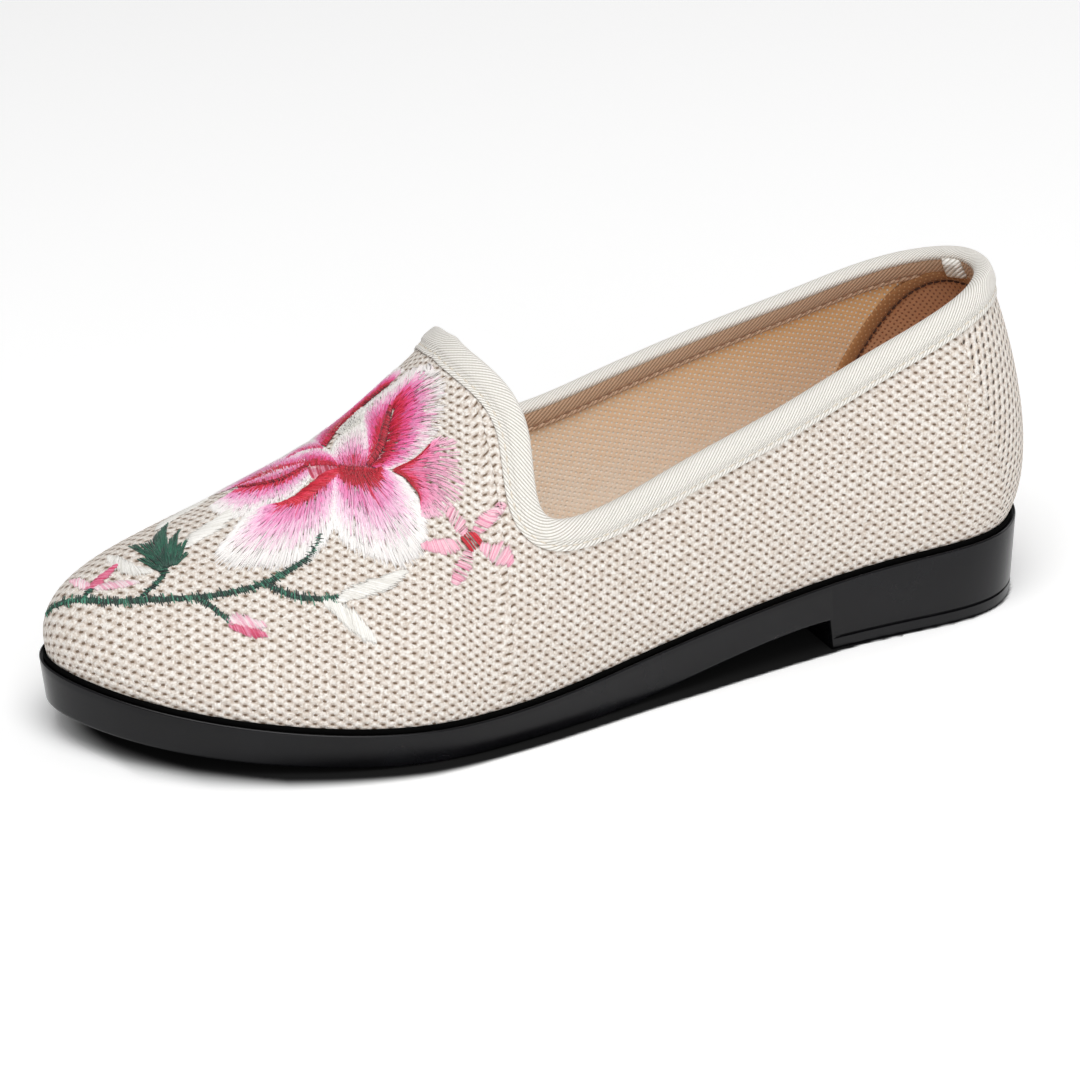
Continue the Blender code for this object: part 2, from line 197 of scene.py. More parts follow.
def turn_at(station):
    """Turn round the half outline, 0 at the back and 1 at the tip, for a share of the length."""
    return np.arccos(1 - 2 * np.clip(station, 0.0, 1.0)) / np.pi


def station_at(turn):
    """Share of the length for a turn: (1 - cos(pi turn)) / 2."""
    return (1 - np.cos(np.pi * np.asarray(turn, float))) / 2


def run_along(points):
    """Distance along a line of points, 0 at its first one."""
    return np.cumsum(np.linalg.norm(np.diff(points, axis=0, prepend=points[:1]), axis=-1))


def rim_height(station):
    """Height of the cloth's lower line over the floor."""
    seat = spline(np.ravel(station), SEAT[:, 0], SEAT[:, 1:])[:, 0].reshape(np.shape(station))
    tip = np.clip((station - TREAD_END) / (1 - TREAD_END), 0, 1)
    rise = seat * (HEEL_HEIGHT - FOREPART_THICKNESS)
    return FOREPART_THICKNESS + rise + tip**2 * (TOE_SPRING + TOE_BUMPER)


def tread_height(station):
    """Height of the sole's underside in front of the heel."""
    arch = smoothstep(0, 1, (TREAD_START - station) / (TREAD_START - BREAST_STATION))
    tip = np.clip((station - TREAD_END) / (1 - TREAD_END), 0, 1)
    return ARCH_HEIGHT * arch + TOE_SPRING * tip**2


# %% The outline as a closed curve
def outline_table(count=2400):
    """Edge point, rise, spread, reach and outward direction round the closed outline."""
    size = (SOLE_LENGTH, BALL_WIDTH, INSTEP_HEIGHT, BALL_WIDTH, BALL_WIDTH)
    rows = np.vstack([RIBS, RIBS[:1]]) * size
    knots = run_along(rows[:, :2])
    ring = spline(np.linspace(0, knots[-1], count + 1)[:-1], knots, rows, closed=True)
    ring = np.roll(ring, -int(np.argmin(ring[:, 0])), axis=0)
    run = unit(np.roll(ring[:, :2], -1, axis=0) - np.roll(ring[:, :2], 1, axis=0))
    return np.hstack([ring, -run[:, 1:], run[:, :1]])


OUTLINE = outline_table()
TIP = int(np.argmax(OUTLINE[:, 0]))
OUTER, INNER = OUTLINE[: TIP + 1], np.vstack([OUTLINE[:1], OUTLINE[TIP:][::-1]])


def edge(turn):
    """Row of the outline table at signed turns: 0 is the back, 1 the tip, minus the inner side."""
    turn = np.asarray(turn, float)
    x = OUTER[0, 0] + station_at(turn) * (OUTER[-1, 0] - OUTER[0, 0])
    outer, inner = (between(x, side[:, 0], side) for side in (OUTER, INNER))
    return np.where(turn[..., None] >= 0, outer, inner)


def ridge(station):
    """Points of the ridge and its unit direction towards the toe."""
    rows = RIDGE * (SOLE_LENGTH, INSTEP_HEIGHT, BALL_WIDTH)
    found = []
    for reach in (-0.0005, 0.0, 0.0005):
        x = np.ravel(station) * SOLE_LENGTH + reach
        height, offset = spline(x, rows[:, 0], rows[:, 1:]).T
        found.append(np.column_stack([x, offset, height]).reshape(*np.shape(station), 3))
    return found[1], unit(found[2] - found[0])


# %% The skin of the last
def skin(turn, share):
    """Rib point (1-t)^3 a + 3(1-t)^2 t b + 3(1-t) t^2 c + t^3 d, with a on the outline, b above
    it and leaning out, c level with the ridge at d or along its slope, and t the share."""
    turn = (np.asarray(turn, float) + 1) % 2 - 1
    t = np.asarray(share, float)[..., None]
    rows = edge(turn)
    station = station_at(turn)
    out = rows[..., 5:7]
    foot = rows[..., :2] - out * (RIM_WIDTH + PIECE_GAP)
    low = np.concatenate([foot, rim_height(station)[..., None]], -1)
    lower = low + np.concatenate([out * rows[..., 3:4], rows[..., 2:3]], -1)
    top, slope = ridge(FAN_HEEL + (FAN_TOE - FAN_HEEL) * station)
    away = unit((low - top)[..., :2])
    upper = top + (away[..., :1] * slope + away[..., 1:] * (0.0, 1.0, 0.0)) * rows[..., 4:5]
    below = (1 - t) ** 3 * low + 3 * (1 - t) ** 2 * t * lower
    return below + 3 * (1 - t) * t**2 * upper + t**3 * top


def slopes(turn, share, step=0.002):
    """Change of the skin's point along the turn and up the share."""
    along = skin(turn + step, share) - skin(turn - step, share)
    up = skin(turn, share) - skin(turn, share - step)
    return along / (2 * step), up / step


def normal(turn, share):
    """Unit vector out of the skin, one for both sides on the ridge."""
    along, up = slopes(turn, share)
    out = np.cross(up, along)
    slope = ridge(FAN_HEEL + (FAN_TOE - FAN_HEEL) * station_at(turn))[1]
    return unit(np.where((share > 0.999)[..., None], np.cross(slope, (0.0, 1.0, 0.0)), out))


# %% The edge of the opening
def topline(column, count):
    """Turn and share at equal distances along one side of the edge, from the back to the throat."""
    rows = TOPLINE[::-1][:, [0, column]].copy()
    rows[:, 0] = turn_at(rows[:, 0])
    rows = np.vstack([rows[1] * (-1, 1), rows, (rows[-2, 0], 2 - rows[-2, 1])])
    knots = run_along(rows * (SOLE_LENGTH, INSTEP_HEIGHT))
    dense = spline(np.linspace(knots[1], knots[-2], 2400), knots, rows)
    side = 1 if column == 1 else -1
    run = run_along(skin(dense[:, 0] * side, dense[:, 1]))
    at = np.linspace(0, run[-1], count)
    found = between(at, run, dense)
    found[0, 0], found[-1] = 0.0, rows[-2]
    return found


EDGE_POINTS = 800
EDGES = {1: topline(1, EDGE_POINTS), -1: topline(2, EDGE_POINTS)}


# %% Columns of the cloth
def cloth_column(side, column, t):
    """Turn and share of a cloth point. Columns 0 to 1 run from the back to the throat and end on
    the topline, columns 1 to 2 run on to the toe tip and end on the ridge. t is the share up."""
    column, t = np.broadcast_arrays(np.asarray(column, float), t)
    quarter = np.clip(column, 0, 1)
    foot = turn_at(THROAT_FOOT) * np.sin(quarter * np.pi / 2) ** 0.94
    foot = foot + (1 - turn_at(THROAT_FOOT)) * np.clip(column - 1, 0, 1)
    line = EDGES[side]
    at = np.linspace(0, 1, len(line))
    top = np.where(column < 1, np.interp(quarter, at, line[:, 0]), foot)
    share = np.where(column < 1, np.interp(quarter, at, line[:, 1]), 1.0)
    return side * (foot + (top - foot) * t**1.3), share * t


def cloth_at(signed, t):
    """Turn and share of a cloth point, with the inner side's columns below nought."""
    inner, outer = (cloth_column(side, np.abs(signed), t) for side in (-1, 1))
    return np.where(signed < 0, inner, outer)


# %% [markdown]
# # The cloth laid flat
#
# The knitted mesh was a flat sheet before it was pulled over the last, so its rows of stitches run
# straight in the sheet and not along the ribs. To find that sheet again, the skin is cut at the
# heel seam and laid flat by least squares: each small triangle may turn and grow, but it keeps its
# angles. Two points are held, the throat and the tip of the toe. One linear solve gives the rest.


# %% Lay the cloth flat
HEEL_SEAM = 0.155
KNOTS = np.concatenate([np.linspace(0, 1, 25), np.linspace(1, 2, 13)[1:]])
ROWS = np.linspace(0, 1, 12)


def panel_columns():
    """Signed columns of the inner and the outer panel, from the heel seams to the toe's tip."""
    outer = np.concatenate([[HEEL_SEAM], KNOTS[KNOTS > HEEL_SEAM + 0.02]])
    return -outer[::-1], outer


def panel_points(signed, rows):
    """Points of the cloth at signed columns."""
    return skin(*cloth_at(*np.meshgrid(signed, rows, indexing="ij")))


def lay_flat():
    """Least squares conformal map: in each triangle, opposite edge times vertex sums to nought."""
    panels = panel_columns()
    points, faces, first = [], [], 0
    for columns in panels:
        grid = panel_points(columns, ROWS)
        n, m = grid.shape[:2]
        index = first + np.arange(n * m).reshape(n, m)
        a, b, c, d = index[:-1, :-1], index[1:, :-1], index[1:, 1:], index[:-1, 1:]
        faces += [np.stack([a, b, c], -1).reshape(-1, 3), np.stack([a, c, d], -1).reshape(-1, 3)]
        points.append(grid.reshape(-1, 3))
        first += n * m
    points, faces = np.vstack(points), np.vstack(faces)
    keys = np.round(points, 5)
    _, unique, merged = np.unique(keys, axis=0, return_index=True, return_inverse=True)
    merged = merged.ravel()
    corner = points[unique][merged[faces]]
    along = corner[:, 1] - corner[:, 0]
    length = np.linalg.norm(along, axis=1)
    good = length > 1e-9
    across = corner[:, 2] - corner[:, 0]
    x = np.where(good, (across * along).sum(1) / np.maximum(length, 1e-12), 0)
    y = np.sqrt(np.maximum((across**2).sum(1) - x**2, 0))
    area = length * y / 2
    keep = area > 1e-10
    length, x, y, area = length[keep], x[keep], y[keep], area[keep]
    flat = np.stack([np.zeros_like(x) + 0j, length + 0j, x + 1j * y], 1)
    weight = flat[:, [2, 0, 1]] - flat[:, [1, 2, 0]]
    weight /= np.sqrt(2 * area)[:, None]
    count = len(unique)
    system = np.zeros((len(area), count), complex)
    np.add.at(system, (np.arange(len(area))[:, None], merged[faces[keep]]), weight)
    inner, outer = panels
    n_inner = len(inner) * len(ROWS)
    throat = n_inner + int(np.argmin(np.abs(outer - 1))) * len(ROWS) + len(ROWS) - 1
    tip = n_inner + (len(outer) - 1) * len(ROWS)
    centre = panel_points(outer[outer > 0.999], ROWS[-1:])[:, 0]
    front = panel_points(np.array([2.0]), ROWS[::-1])[0]
    span = run_along(centre)[-1] + run_along(front)[-1]
    held = merged[[throat, tip]]
    free = np.setdiff1d(np.arange(count), held)
    value = np.zeros(count, complex)
    value[held] = 0, span
    normal_matrix = system[:, free].conj().T @ system[:, free]
    right = -system[:, free].conj().T @ (system[:, held] @ value[held])
    value[free] = np.linalg.solve(normal_matrix, right)
    sheet = value[merged]
    return [sheet[:n_inner].reshape(len(inner), -1), sheet[n_inner:].reshape(len(outer), -1)]


FLAT = lay_flat()


def flat_at(panel, signed, rows):
    """Place in the flat sheet of a dense grid of columns and rows, by splines both ways."""
    columns = panel_columns()[panel]
    values = np.stack([FLAT[panel].real, FLAT[panel].imag], -1)
    n, m = values.shape[:2]
    wide = spline(signed, columns, values.reshape(n, -1)).reshape(-1, m, 2)
    tall = spline(rows, ROWS, wide.transpose(1, 0, 2).reshape(m, -1))
    return tall.reshape(len(rows), -1, 2).transpose(1, 0, 2)


# %% [markdown]
# # Where the last stands
#
# The formulas count from the back of the sole's outline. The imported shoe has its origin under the
# middle of its box, so the surfaces are moved by the difference, read from the sole's own box.

# %% Move the formulas to the frame
SOLE_LOW, SOLE_HIGH = (np.array(corner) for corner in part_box("outsole"))
MOVE = np.array(
    [
        SOLE_LOW[0] - OUTLINE[:, 0].min(),
        (SOLE_LOW[1] + SOLE_HIGH[1] - OUTLINE[:, 1].min() - OUTLINE[:, 1].max()) / 2,
        0.0,
    ]
)
print("moved by mm", np.round(MOVE / MM, 2))

# %% [markdown]
# # From grids to meshes
#
# Every surface here is a grid of points. Where grids meet, as at the ridge, the toe and the heel,
# their points coincide, so they are merged by their rounded places. The UV map keeps each grid's
# own values, because cloth patterns may jump at a seam.


# %% Grid and mesh helpers
MERGE_STEP = 2e-6  # points on the same step of 0.002 mm are one point


def quads(rows, columns, first=0, flip=False):
    """Corner numbers of a grid's faces. Flipped, they are counted the other way round."""
    i = np.arange(rows - 1)[:, None]
    j = np.arange(columns - 1)[None, :]
    a, b = first + i * columns + j, first + (i + 1) * columns + j
    found = np.stack([a, b, b + 1, a + 1], axis=-1).reshape(-1, 4)
    return found[:, ::-1] if flip else found


def make_piece(name, points, faces, material, uv=None, colours=None):
    """One mesh object at the origin, from points, four-cornered faces and values per point.
    Points that meet are merged, and a face that loses two corners by it is left out."""
    points = np.asarray(points, float).reshape(-1, 3)
    source = faces.ravel()
    place = np.round(points / MERGE_STEP).astype(np.int64)
    _, keep, back = np.unique(place, axis=0, return_index=True, return_inverse=True)
    points, corners = points[keep], back.ravel()[source]
    quad = corners.reshape(-1, 4)
    solid = quad != np.roll(quad, -1, axis=1)
    good = (solid.sum(axis=1) >= 3) & (quad[:, 0] != quad[:, 2]) & (quad[:, 1] != quad[:, 3])
    used = (solid & good[:, None]).ravel()
    sizes = solid.sum(axis=1)[good]
    mesh = bpy.data.meshes.new(name)
    mesh.vertices.add(len(points))
    mesh.vertices.foreach_set("co", (points + MOVE).ravel())
    mesh.loops.add(int(used.sum()))
    mesh.loops.foreach_set("vertex_index", corners[used].astype(np.int32))
    mesh.polygons.add(len(sizes))
    starts = np.concatenate([[0], np.cumsum(sizes)[:-1]])
    mesh.polygons.foreach_set("loop_start", starts.astype(np.int32))
    mesh.update(calc_edges=True)
    if uv is not None:
        layer = mesh.uv_layers.new(name="cloth")
        layer.data.foreach_set("uv", np.asarray(uv, float).reshape(-1, 2)[source[used]].ravel())
    if colours is not None:
        dye = mesh.color_attributes.new("dye", "FLOAT_COLOR", "CORNER")
        rgba = np.concatenate([colours, np.ones((len(colours), 1))], axis=1)
        dye.data.foreach_set("color", rgba[source[used]].ravel())
    mesh.shade_smooth()
    mesh.materials.append(material)
    piece = bpy.data.objects.new(name, mesh)
    bpy.context.scene.collection.objects.link(piece)
    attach(piece, "root")
    print(name, len(points), "points,", int((sizes - 2).sum()), "triangles")
    return piece


def join_grids(grids, flips, uvs=()):
    """Points, faces and UVs of several grids as one list."""
    faces, first = [], 0
    for grid, flip in zip(grids, flips):
        rows, columns = grid.shape[:2]
        faces.append(quads(rows, columns, first, flip))
        first += rows * columns
    points = np.vstack([grid.reshape(-1, 3) for grid in grids])
    uv = np.vstack([values.reshape(-1, 2) for values in uvs]) if len(uvs) else None
    return points, np.vstack(faces), uv


# %% [markdown]
# # Finishes
#
# Colours are written as the hex values a screen shows, and one function turns them to linear
# light. One small function adds a node with its settings and links, and gives back its output.
# Object coordinates are in metres, so a noise scale counts grains per metre: 2600 stands for
# grains of about 0.4 mm, which is a yarn's width, and 40 for patches of 25 mm, as fingers leave.


# %% Colour and node helpers
def linear(hex_colour):
    """sRGB hex to linear: c/12.92 in the dark part, ((c + 0.055)/1.055)^2.4 above it."""
    values = [int(hex_colour[i : i + 2], 16) / 255 for i in (1, 3, 5)]
    return [v / 12.92 if v <= 0.04045 else ((v + 0.055) / 1.055) ** 2.4 for v in values] + [1.0]


def add(tree, kind, inputs=(), out=0, **settings):
    """Adds one node, sets or links its inputs and gives back one of its outputs."""
    made = tree.nodes.new("ShaderNode" + kind)
    for name, value in settings.items():
        setattr(made, name, value)
    for place, value in inputs.items() if isinstance(inputs, dict) else enumerate(inputs):
        if isinstance(value, bpy.types.NodeSocket):
            tree.links.new(value, made.inputs[place])
        else:
            made.inputs[place].default_value = linear(value) if isinstance(value, str) else value
    return made.outputs[out]


def start_material(name, **values):
    """A new material, its tree and its shader, with values on the shader's own sockets."""
    material = bpy.data.materials.new(name)
    material.use_nodes = True
    shader = material.node_tree.nodes["Principled BSDF"]
    for key, value in values.items():
        shader.inputs[key.replace("_", " ")].default_value = value
    return material, material.node_tree, shader


def wave_product(tree, turned, operation):
    """Cosine or sine of the first coordinate times that of the second."""
    parts = [add(tree, "SeparateXYZ", [turned], k) for k in (0, 1)]
    waves = [add(tree, "Math", [part], operation=operation) for part in parts]
    return add(tree, "Math", waves, operation="MULTIPLY")


EASE = {"interpolation_type": "SMOOTHSTEP"}
RGBA = {"data_type": "RGBA", "out": 2}

# %% [markdown]
# ## Knitted mesh
#
# The mesh is a warp knit of matt polyester yarn in ecru. Its stitches are rice-grain bumps in
# staggered rows, and at both ends of each grain is a small hole, where the beige foam behind shows.
# The relief is real geometry. The shader adds what is finer: the holes, where the beige foam shows,
# darkened further as painted shade of their depth, painted shade on the grains' sides, the yarn's
# fibres and the slight unevenness of the dye. The UV map counts stitches, so a product of two
# cosines finds the grains (plus one) and the holes (minus one). Behind the heel seam a dark
# stiffener takes the foam's place, so the holes are wider and darker there.

# %% Knitted mesh
TURN = 2 * math.pi
CHAIN = 0.13  # how much the grains lean into each other along one diagonal


def knitted_mesh(name, hole_colour_and_shade, low, high):
    """Holes lie where the stitch product is under low, and their rim ends at high."""
    material, tree, shader = start_material(name, Roughness=0.9, Sheen_Weight=0.12)
    uv = add(tree, "UVMap", uv_map="cloth")
    place = add(tree, "TexCoord", out=3)
    turned = add(tree, "VectorMath", [uv, (TURN, TURN, 0)], operation="MULTIPLY")
    grains = wave_product(tree, turned, "COSINE")
    lean = wave_product(tree, turned, "SINE")
    stitch = add(tree, "Math", [lean, CHAIN, grains], operation="MULTIPLY_ADD")
    strand_run = add(tree, "VectorMath", [turned, (2.0, -5.0, 0)], 1, operation="DOT_PRODUCT")
    strand = add(tree, "Math", [strand_run], operation="SINE")
    uneven = add(tree, "TexNoise", {"Vector": place, "Scale": 700.0, "Detail": 2.0})
    yarn = add(tree, "TexNoise", {"Vector": place, "Scale": 2600.0, "Detail": 2.0})
    warm = add(tree, "MapRange", {0: uneven, 1: 0.3, 2: 0.7}, **EASE)
    crown = add(tree, "Mix", {0: warm, 6: "#EFE9E2", 7: "#E0D5CA"}, **RGBA)
    # Painted shade: the grains' sides and the valleys between them darken towards #BDADA0.
    side = add(tree, "MapRange", {0: stitch, 1: 0.25, 2: -0.65}, **EASE)
    body = add(tree, "Mix", {0: side, 6: crown, 7: "#BDADA0"}, **RGBA)
    fleck = add(tree, "TexNoise", {"Vector": place, "Scale": 1700.0, "Detail": 1.0})
    bright = add(tree, "MapRange", {0: fleck, 1: 0.54, 2: 0.68, 4: 0.75}, **EASE)
    body = add(tree, "Mix", {0: bright, 6: body, 7: "#FBF7F1"}, **RGBA)
    dull = add(tree, "MapRange", {0: fleck, 1: 0.46, 2: 0.33, 4: 0.5}, **EASE)
    body = add(tree, "Mix", {0: dull, 6: body, 7: "#B5A391"}, **RGBA)
    # The holes take the colour behind the mesh, darkened as painted shade of their depth.
    hole = add(tree, "MapRange", {0: stitch, 1: high, 2: low}, **EASE)
    colour = add(tree, "Mix", {0: hole, 6: body, 7: hole_colour_and_shade}, **RGBA)
    loft = add(tree, "MapRange", {0: stitch, 1: -1.0, 2: 0.9}, **EASE)
    height = add(tree, "Math", [strand, 0.05, loft], operation="MULTIPLY_ADD")
    height = add(tree, "Math", [yarn, 0.3, height], operation="MULTIPLY_ADD")
    tree.links.new(colour, shader.inputs["Base Color"])
    bump = add(tree, "Bump", {"Height": height, "Distance": 0.33 * MM, "Strength": 0.9})
    tree.links.new(bump, shader.inputs["Normal"])
    return material


KNIT = knitted_mesh("knitted_polyester_mesh_ecru", "#6F5C4A", -0.86, -0.62)
KNIT_HEEL = knitted_mesh("knitted_polyester_mesh_over_stiffener", "#4C4138", -0.80, -0.54)

# %% [markdown]
# ## Tape, lining, footbed and rubber
#
# The tape is woven twill with slanted ribs, ivory outside and a darker tan on the leg inside the
# shoe. The troughs between its ribs are painted darker, as shade. The real ribs are about 0.5 mm
# apart, and are drawn about twice as coarse so that they show. The lining is thin tan cloth on
# foam, pressed with a grid of pin holes that look pale. The rubber was moulded in a polished tool,
# so it has a clear gloss that breaks up a little where hands touched it.


# %% Twill tape
WEFT_MM = 0.45


def twill_tape(name, light, trough_shade, rib_mm):
    """UV in millimetres along and across the tape. The ribs are a slanted sine, and their troughs
    are painted darker as shade.
    """
    material, tree, shader = start_material(name, Roughness=0.75, Sheen_Weight=0.15)
    uv = add(tree, "UVMap", uv_map="cloth")
    place = add(tree, "TexCoord", out=3)
    over_rib = (TURN / rib_mm, 1.4 * TURN / rib_mm, 0)
    slant = add(tree, "VectorMath", [uv, over_rib], 1, operation="DOT_PRODUCT")
    rib = add(tree, "Math", [slant], operation="SINE")
    weft = add(tree, "VectorMath", [uv, (0, TURN / WEFT_MM, 0)], 1, operation="DOT_PRODUCT")
    pick = add(tree, "Math", [weft], operation="SINE")
    yarn = add(tree, "TexNoise", {"Vector": place, "Scale": 2800.0, "Detail": 2.0})
    # Painted shade: the troughs between the ribs take the darker colour.
    gap = add(tree, "MapRange", {0: rib, 1: 0.1, 2: -1.0, 4: 0.8}, **EASE)
    colour = add(tree, "Mix", {0: gap, 6: light, 7: trough_shade}, **RGBA)
    height = add(tree, "Math", [pick, 0.25, rib], operation="MULTIPLY_ADD")
    height = add(tree, "Math", [yarn, 0.8, height], operation="MULTIPLY_ADD")
    tree.links.new(colour, shader.inputs["Base Color"])
    bump = add(tree, "Bump", {"Height": height, "Distance": 0.1 * MM, "Strength": 0.8})
    tree.links.new(bump, shader.inputs["Normal"])
    return material


TAPE_IVORY = twill_tape("woven_twill_tape_ivory", "#FBF8F2", "#B0A89B", 1.15)
# A darker tan copy of the twill, for the tape's leg inside the shoe.
TAPE_INNER_LEG = twill_tape("woven_twill_tape_inner_leg", "#DDBB9F", "#A98565", 1.4)


# %% Pin-dotted lining, counter cloth and footbed cloth
def pressed_cloth(name, pale, deep, mark, low, high, bump_mm):
    """UV in cells of the mark's grid, with marks where the two cosines' product passes from low
    to high. The body darkens with height, from pale at 26 mm to deep at 62 mm, as painted shade."""
    material, tree, shader = start_material(name, Roughness=0.85, Sheen_Weight=0.2)
    uv = add(tree, "UVMap", uv_map="cloth")
    place = add(tree, "TexCoord", out=3)
    turned = add(tree, "VectorMath", [uv, (TURN, TURN, 0)], operation="MULTIPLY")
    cell = wave_product(tree, turned, "COSINE")
    spot = add(tree, "MapRange", {0: cell, 1: low, 2: high}, **EASE)
    level = add(tree, "MapRange", {0: add(tree, "SeparateXYZ", [place], 2), 1: 0.026, 2: 0.062})
    uneven = add(tree, "TexNoise", {"Vector": place, "Scale": 350.0, "Detail": 3.0})
    # Painted shade: the cloth goes from pale low down to deep near the top.
    body = add(tree, "Mix", {0: level, 6: pale, 7: deep}, **RGBA)
    worn = add(tree, "MapRange", {0: uneven, 1: 0.4, 2: 0.75, 4: 0.2}, **EASE)
    body = add(tree, "Mix", {0: worn, 6: body, 7: deep}, **RGBA)
    colour = add(tree, "Mix", {0: spot, 6: body, 7: mark}, **RGBA)
    fibre = add(tree, "TexNoise", {"Vector": place, "Scale": 2200.0, "Detail": 2.0})
    height = add(tree, "Math", [spot, -1.5, fibre], operation="MULTIPLY_ADD")
    tree.links.new(colour, shader.inputs["Base Color"])
    bump = add(tree, "Bump", {"Height": height, "Distance": bump_mm * MM, "Strength": 0.8})
    tree.links.new(bump, shader.inputs["Normal"])
    return material


LINING = pressed_cloth("pin_pressed_lining_tan", "#FDF1E2", "#F6C78E", "#FFFBF2", 0.3, 0.8, 0.12)
COUNTER = pressed_cloth("ribbed_counter_cloth", "#DDB391", "#CC956E", "#96603F", 0.2, 0.9, 0.12)
WELT_CLOTH = pressed_cloth(
    "folded_counter_welt_cloth", "#BC8A5A", "#A06E42", "#CFA375", 0.5, 1.0, 0.08
)
FOOTBED = pressed_cloth("woven_footbed_cloth", "#D6B997", "#B8916B", "#A98561", 0.2, 0.95, 0.10)


# %% Moulded rubber
def moulded_rubber():
    material, tree, shader = start_material("moulded_rubber_polished", Specular_IOR_Level=0.24)
    place = add(tree, "TexCoord", out=3)
    touched = add(tree, "TexNoise", {"Vector": place, "Scale": 40.0, "Detail": 4.0})
    share = add(tree, "MapRange", {0: touched, 1: 0.35, 2: 0.75}, **EASE)
    colour = add(tree, "Mix", {0: share, 6: "#0E0E10", 7: "#151518"}, **RGBA)
    rough = add(tree, "Math", [share, 0.12, 0.2], operation="MULTIPLY_ADD")
    tree.links.new(rough, shader.inputs["Roughness"])
    skin_grain = add(tree, "TexNoise", {"Vector": place, "Scale": 900.0})
    tree.links.new(colour, shader.inputs["Base Color"])
    bump = add(tree, "Bump", {"Height": skin_grain, "Distance": 0.03 * MM, "Strength": 0.4})
    tree.links.new(bump, shader.inputs["Normal"])
    return material


RUBBER = moulded_rubber()

# %% [markdown]
# ## Silk floss
#
# Embroidery floss is untwisted rayon or silk. Its many filaments lie side by side, so it shines
# across the stitch. Each stitch carries its own dye as a colour attribute.


# %% Silk floss
def silk_floss():
    """Noise with grains of about 0.4 mm lies over the dye, as the filaments do."""
    material, tree, shader = start_material(
        "silk_embroidery_floss", Roughness=0.45, Sheen_Weight=0.2
    )
    dye = add(tree, "Attribute", attribute_name="dye")
    place = add(tree, "TexCoord", out=3)
    fibre = add(tree, "TexNoise", {"Vector": place, "Scale": 2400.0, "Detail": 2.0})
    colour = add(tree, "Mix", {0: 0.22, 6: dye, 7: fibre}, blend_type="OVERLAY", **RGBA)
    tree.links.new(colour, shader.inputs["Base Color"])
    bump = add(tree, "Bump", {"Height": fibre, "Distance": 0.08 * MM, "Strength": 0.6})
    tree.links.new(bump, shader.inputs["Normal"])
    return material


FLOSS = silk_floss()

# %% [markdown]
# # The knitted upper
#
# The mesh is knitted flat, so its rows of stitches run straight in the sheet and cross the shoe at
# a slant. Each side is a grid of columns round the shoe and rows up the last, fine enough to carry
# the stitches as real relief. The sheet's own coordinates, turned to the grain, count the stitches.
# The upper is made as three pieces, vamp, quarters and heel, because the pattern is cut at the heel
# seams and a piece should stay light enough to handle.

# %% Stitches of the mesh
GRAIN = math.radians(38)
ROW_PITCH, COLUMN_PITCH = 4.1 * MM, 2.3 * MM
RELIEF = 0.08 * MM
VAMP_EDGE = 0.86


def stitches(flat):
    """Counts of rows and columns at places in the flat sheet, along the grain's two directions."""
    rows = -flat[..., 0] * math.cos(GRAIN) - flat[..., 1] * math.sin(GRAIN)
    columns = flat[..., 0] * math.sin(GRAIN) - flat[..., 1] * math.cos(GRAIN)
    return np.stack([rows / ROW_PITCH, columns / COLUMN_PITCH], axis=-1)


def cloth_grid(side, columns, rows):
    """Skin points, normals and sheet places for columns of one side. The sheet is the flat map in
    front of the heel seam and plain distances behind it."""
    column, t = np.meshgrid(columns, rows, indexing="ij")
    turn, share = cloth_column(side, column, t)
    points, out = skin(turn, share), normal(turn, share)
    if columns[0] >= HEEL_SEAM:
        panel = 1 if side > 0 else 0
        flat = flat_at(panel, (columns * side)[::side], rows)[::side]
    else:
        up = np.linspace(0, 1, len(rows)) * run_along(points[0])[-1]
        along = run_along(points[:, len(rows) // 2])
        flat = np.stack(np.broadcast_arrays(-side * along[:, None], up[None, :]), axis=-1)
    return points, out, flat


def knit_piece(name, columns, material=KNIT, rows=145):
    """Grids of both sides, raised by the stitches and carried down into the sole's cup."""
    grids, uvs = [], []
    for side in (1, -1):
        points, out, flat = cloth_grid(side, columns, np.linspace(0, 1, rows))
        cell = stitches(flat)
        angle = 2 * np.pi * cell
        wave = np.cos(angle).prod(axis=-1) + CHAIN * np.sin(angle).prod(axis=-1)
        edge_fade = smoothstep(0, 0.03, np.linspace(0, 1, rows))[None, :]
        raised = points + out * (RELIEF * edge_fade * (wave * 0.5))[..., None]
        skirt = points[:, :1] - (0, 0, CUP_DEPTH - PIECE_GAP)
        grids.append(np.concatenate([skirt, raised], axis=1))
        uvs.append(np.concatenate([cell[:, :1], cell], axis=1))
    points, faces, uv = join_grids(grids, (True, False), uvs)
    return make_piece(name, points, faces, material, uv)


# %% Sew the mesh over the last
throat_columns = np.linspace(VAMP_EDGE, 1, 66)
vamp = knit_piece("vamp_knit", np.concatenate([throat_columns[:-1], np.linspace(1, 2, 268)]))
knit_piece("quarter_knit", np.linspace(HEEL_SEAM, VAMP_EDGE, 340))
knit_piece("heel_knit", np.linspace(0.0, HEEL_SEAM, 70), KNIT_HEEL)
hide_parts("upper")

# %% [markdown]
# # The lining
#
# Foam and a thin cloth back the mesh. The inner wall is the same surface, moved in by the wall's
# thickness. Its pin grid has a pitch of about 1.4 mm on the diagonal.

# %% Lining
PIN_PITCH = 2.0 * MM


def lining_grids(columns, rows, depth):
    """Both sides of the inner wall: the skin moved in by depth, with a straight foot in the cup."""
    grids, uvs = [], []
    for side in (1, -1):
        points, out, flat = cloth_grid(side, columns, rows)
        wall = points - out * depth
        foot = points[:, :1] - out[:, :1] * (1, 1, 0) * depth - (0, 0, CUP_DEPTH - PIECE_GAP)
        grids.append(np.concatenate([foot, wall], axis=1))
        uvs.append(np.concatenate([flat[:, :1], flat], axis=1) / PIN_PITCH)
    return grids, uvs


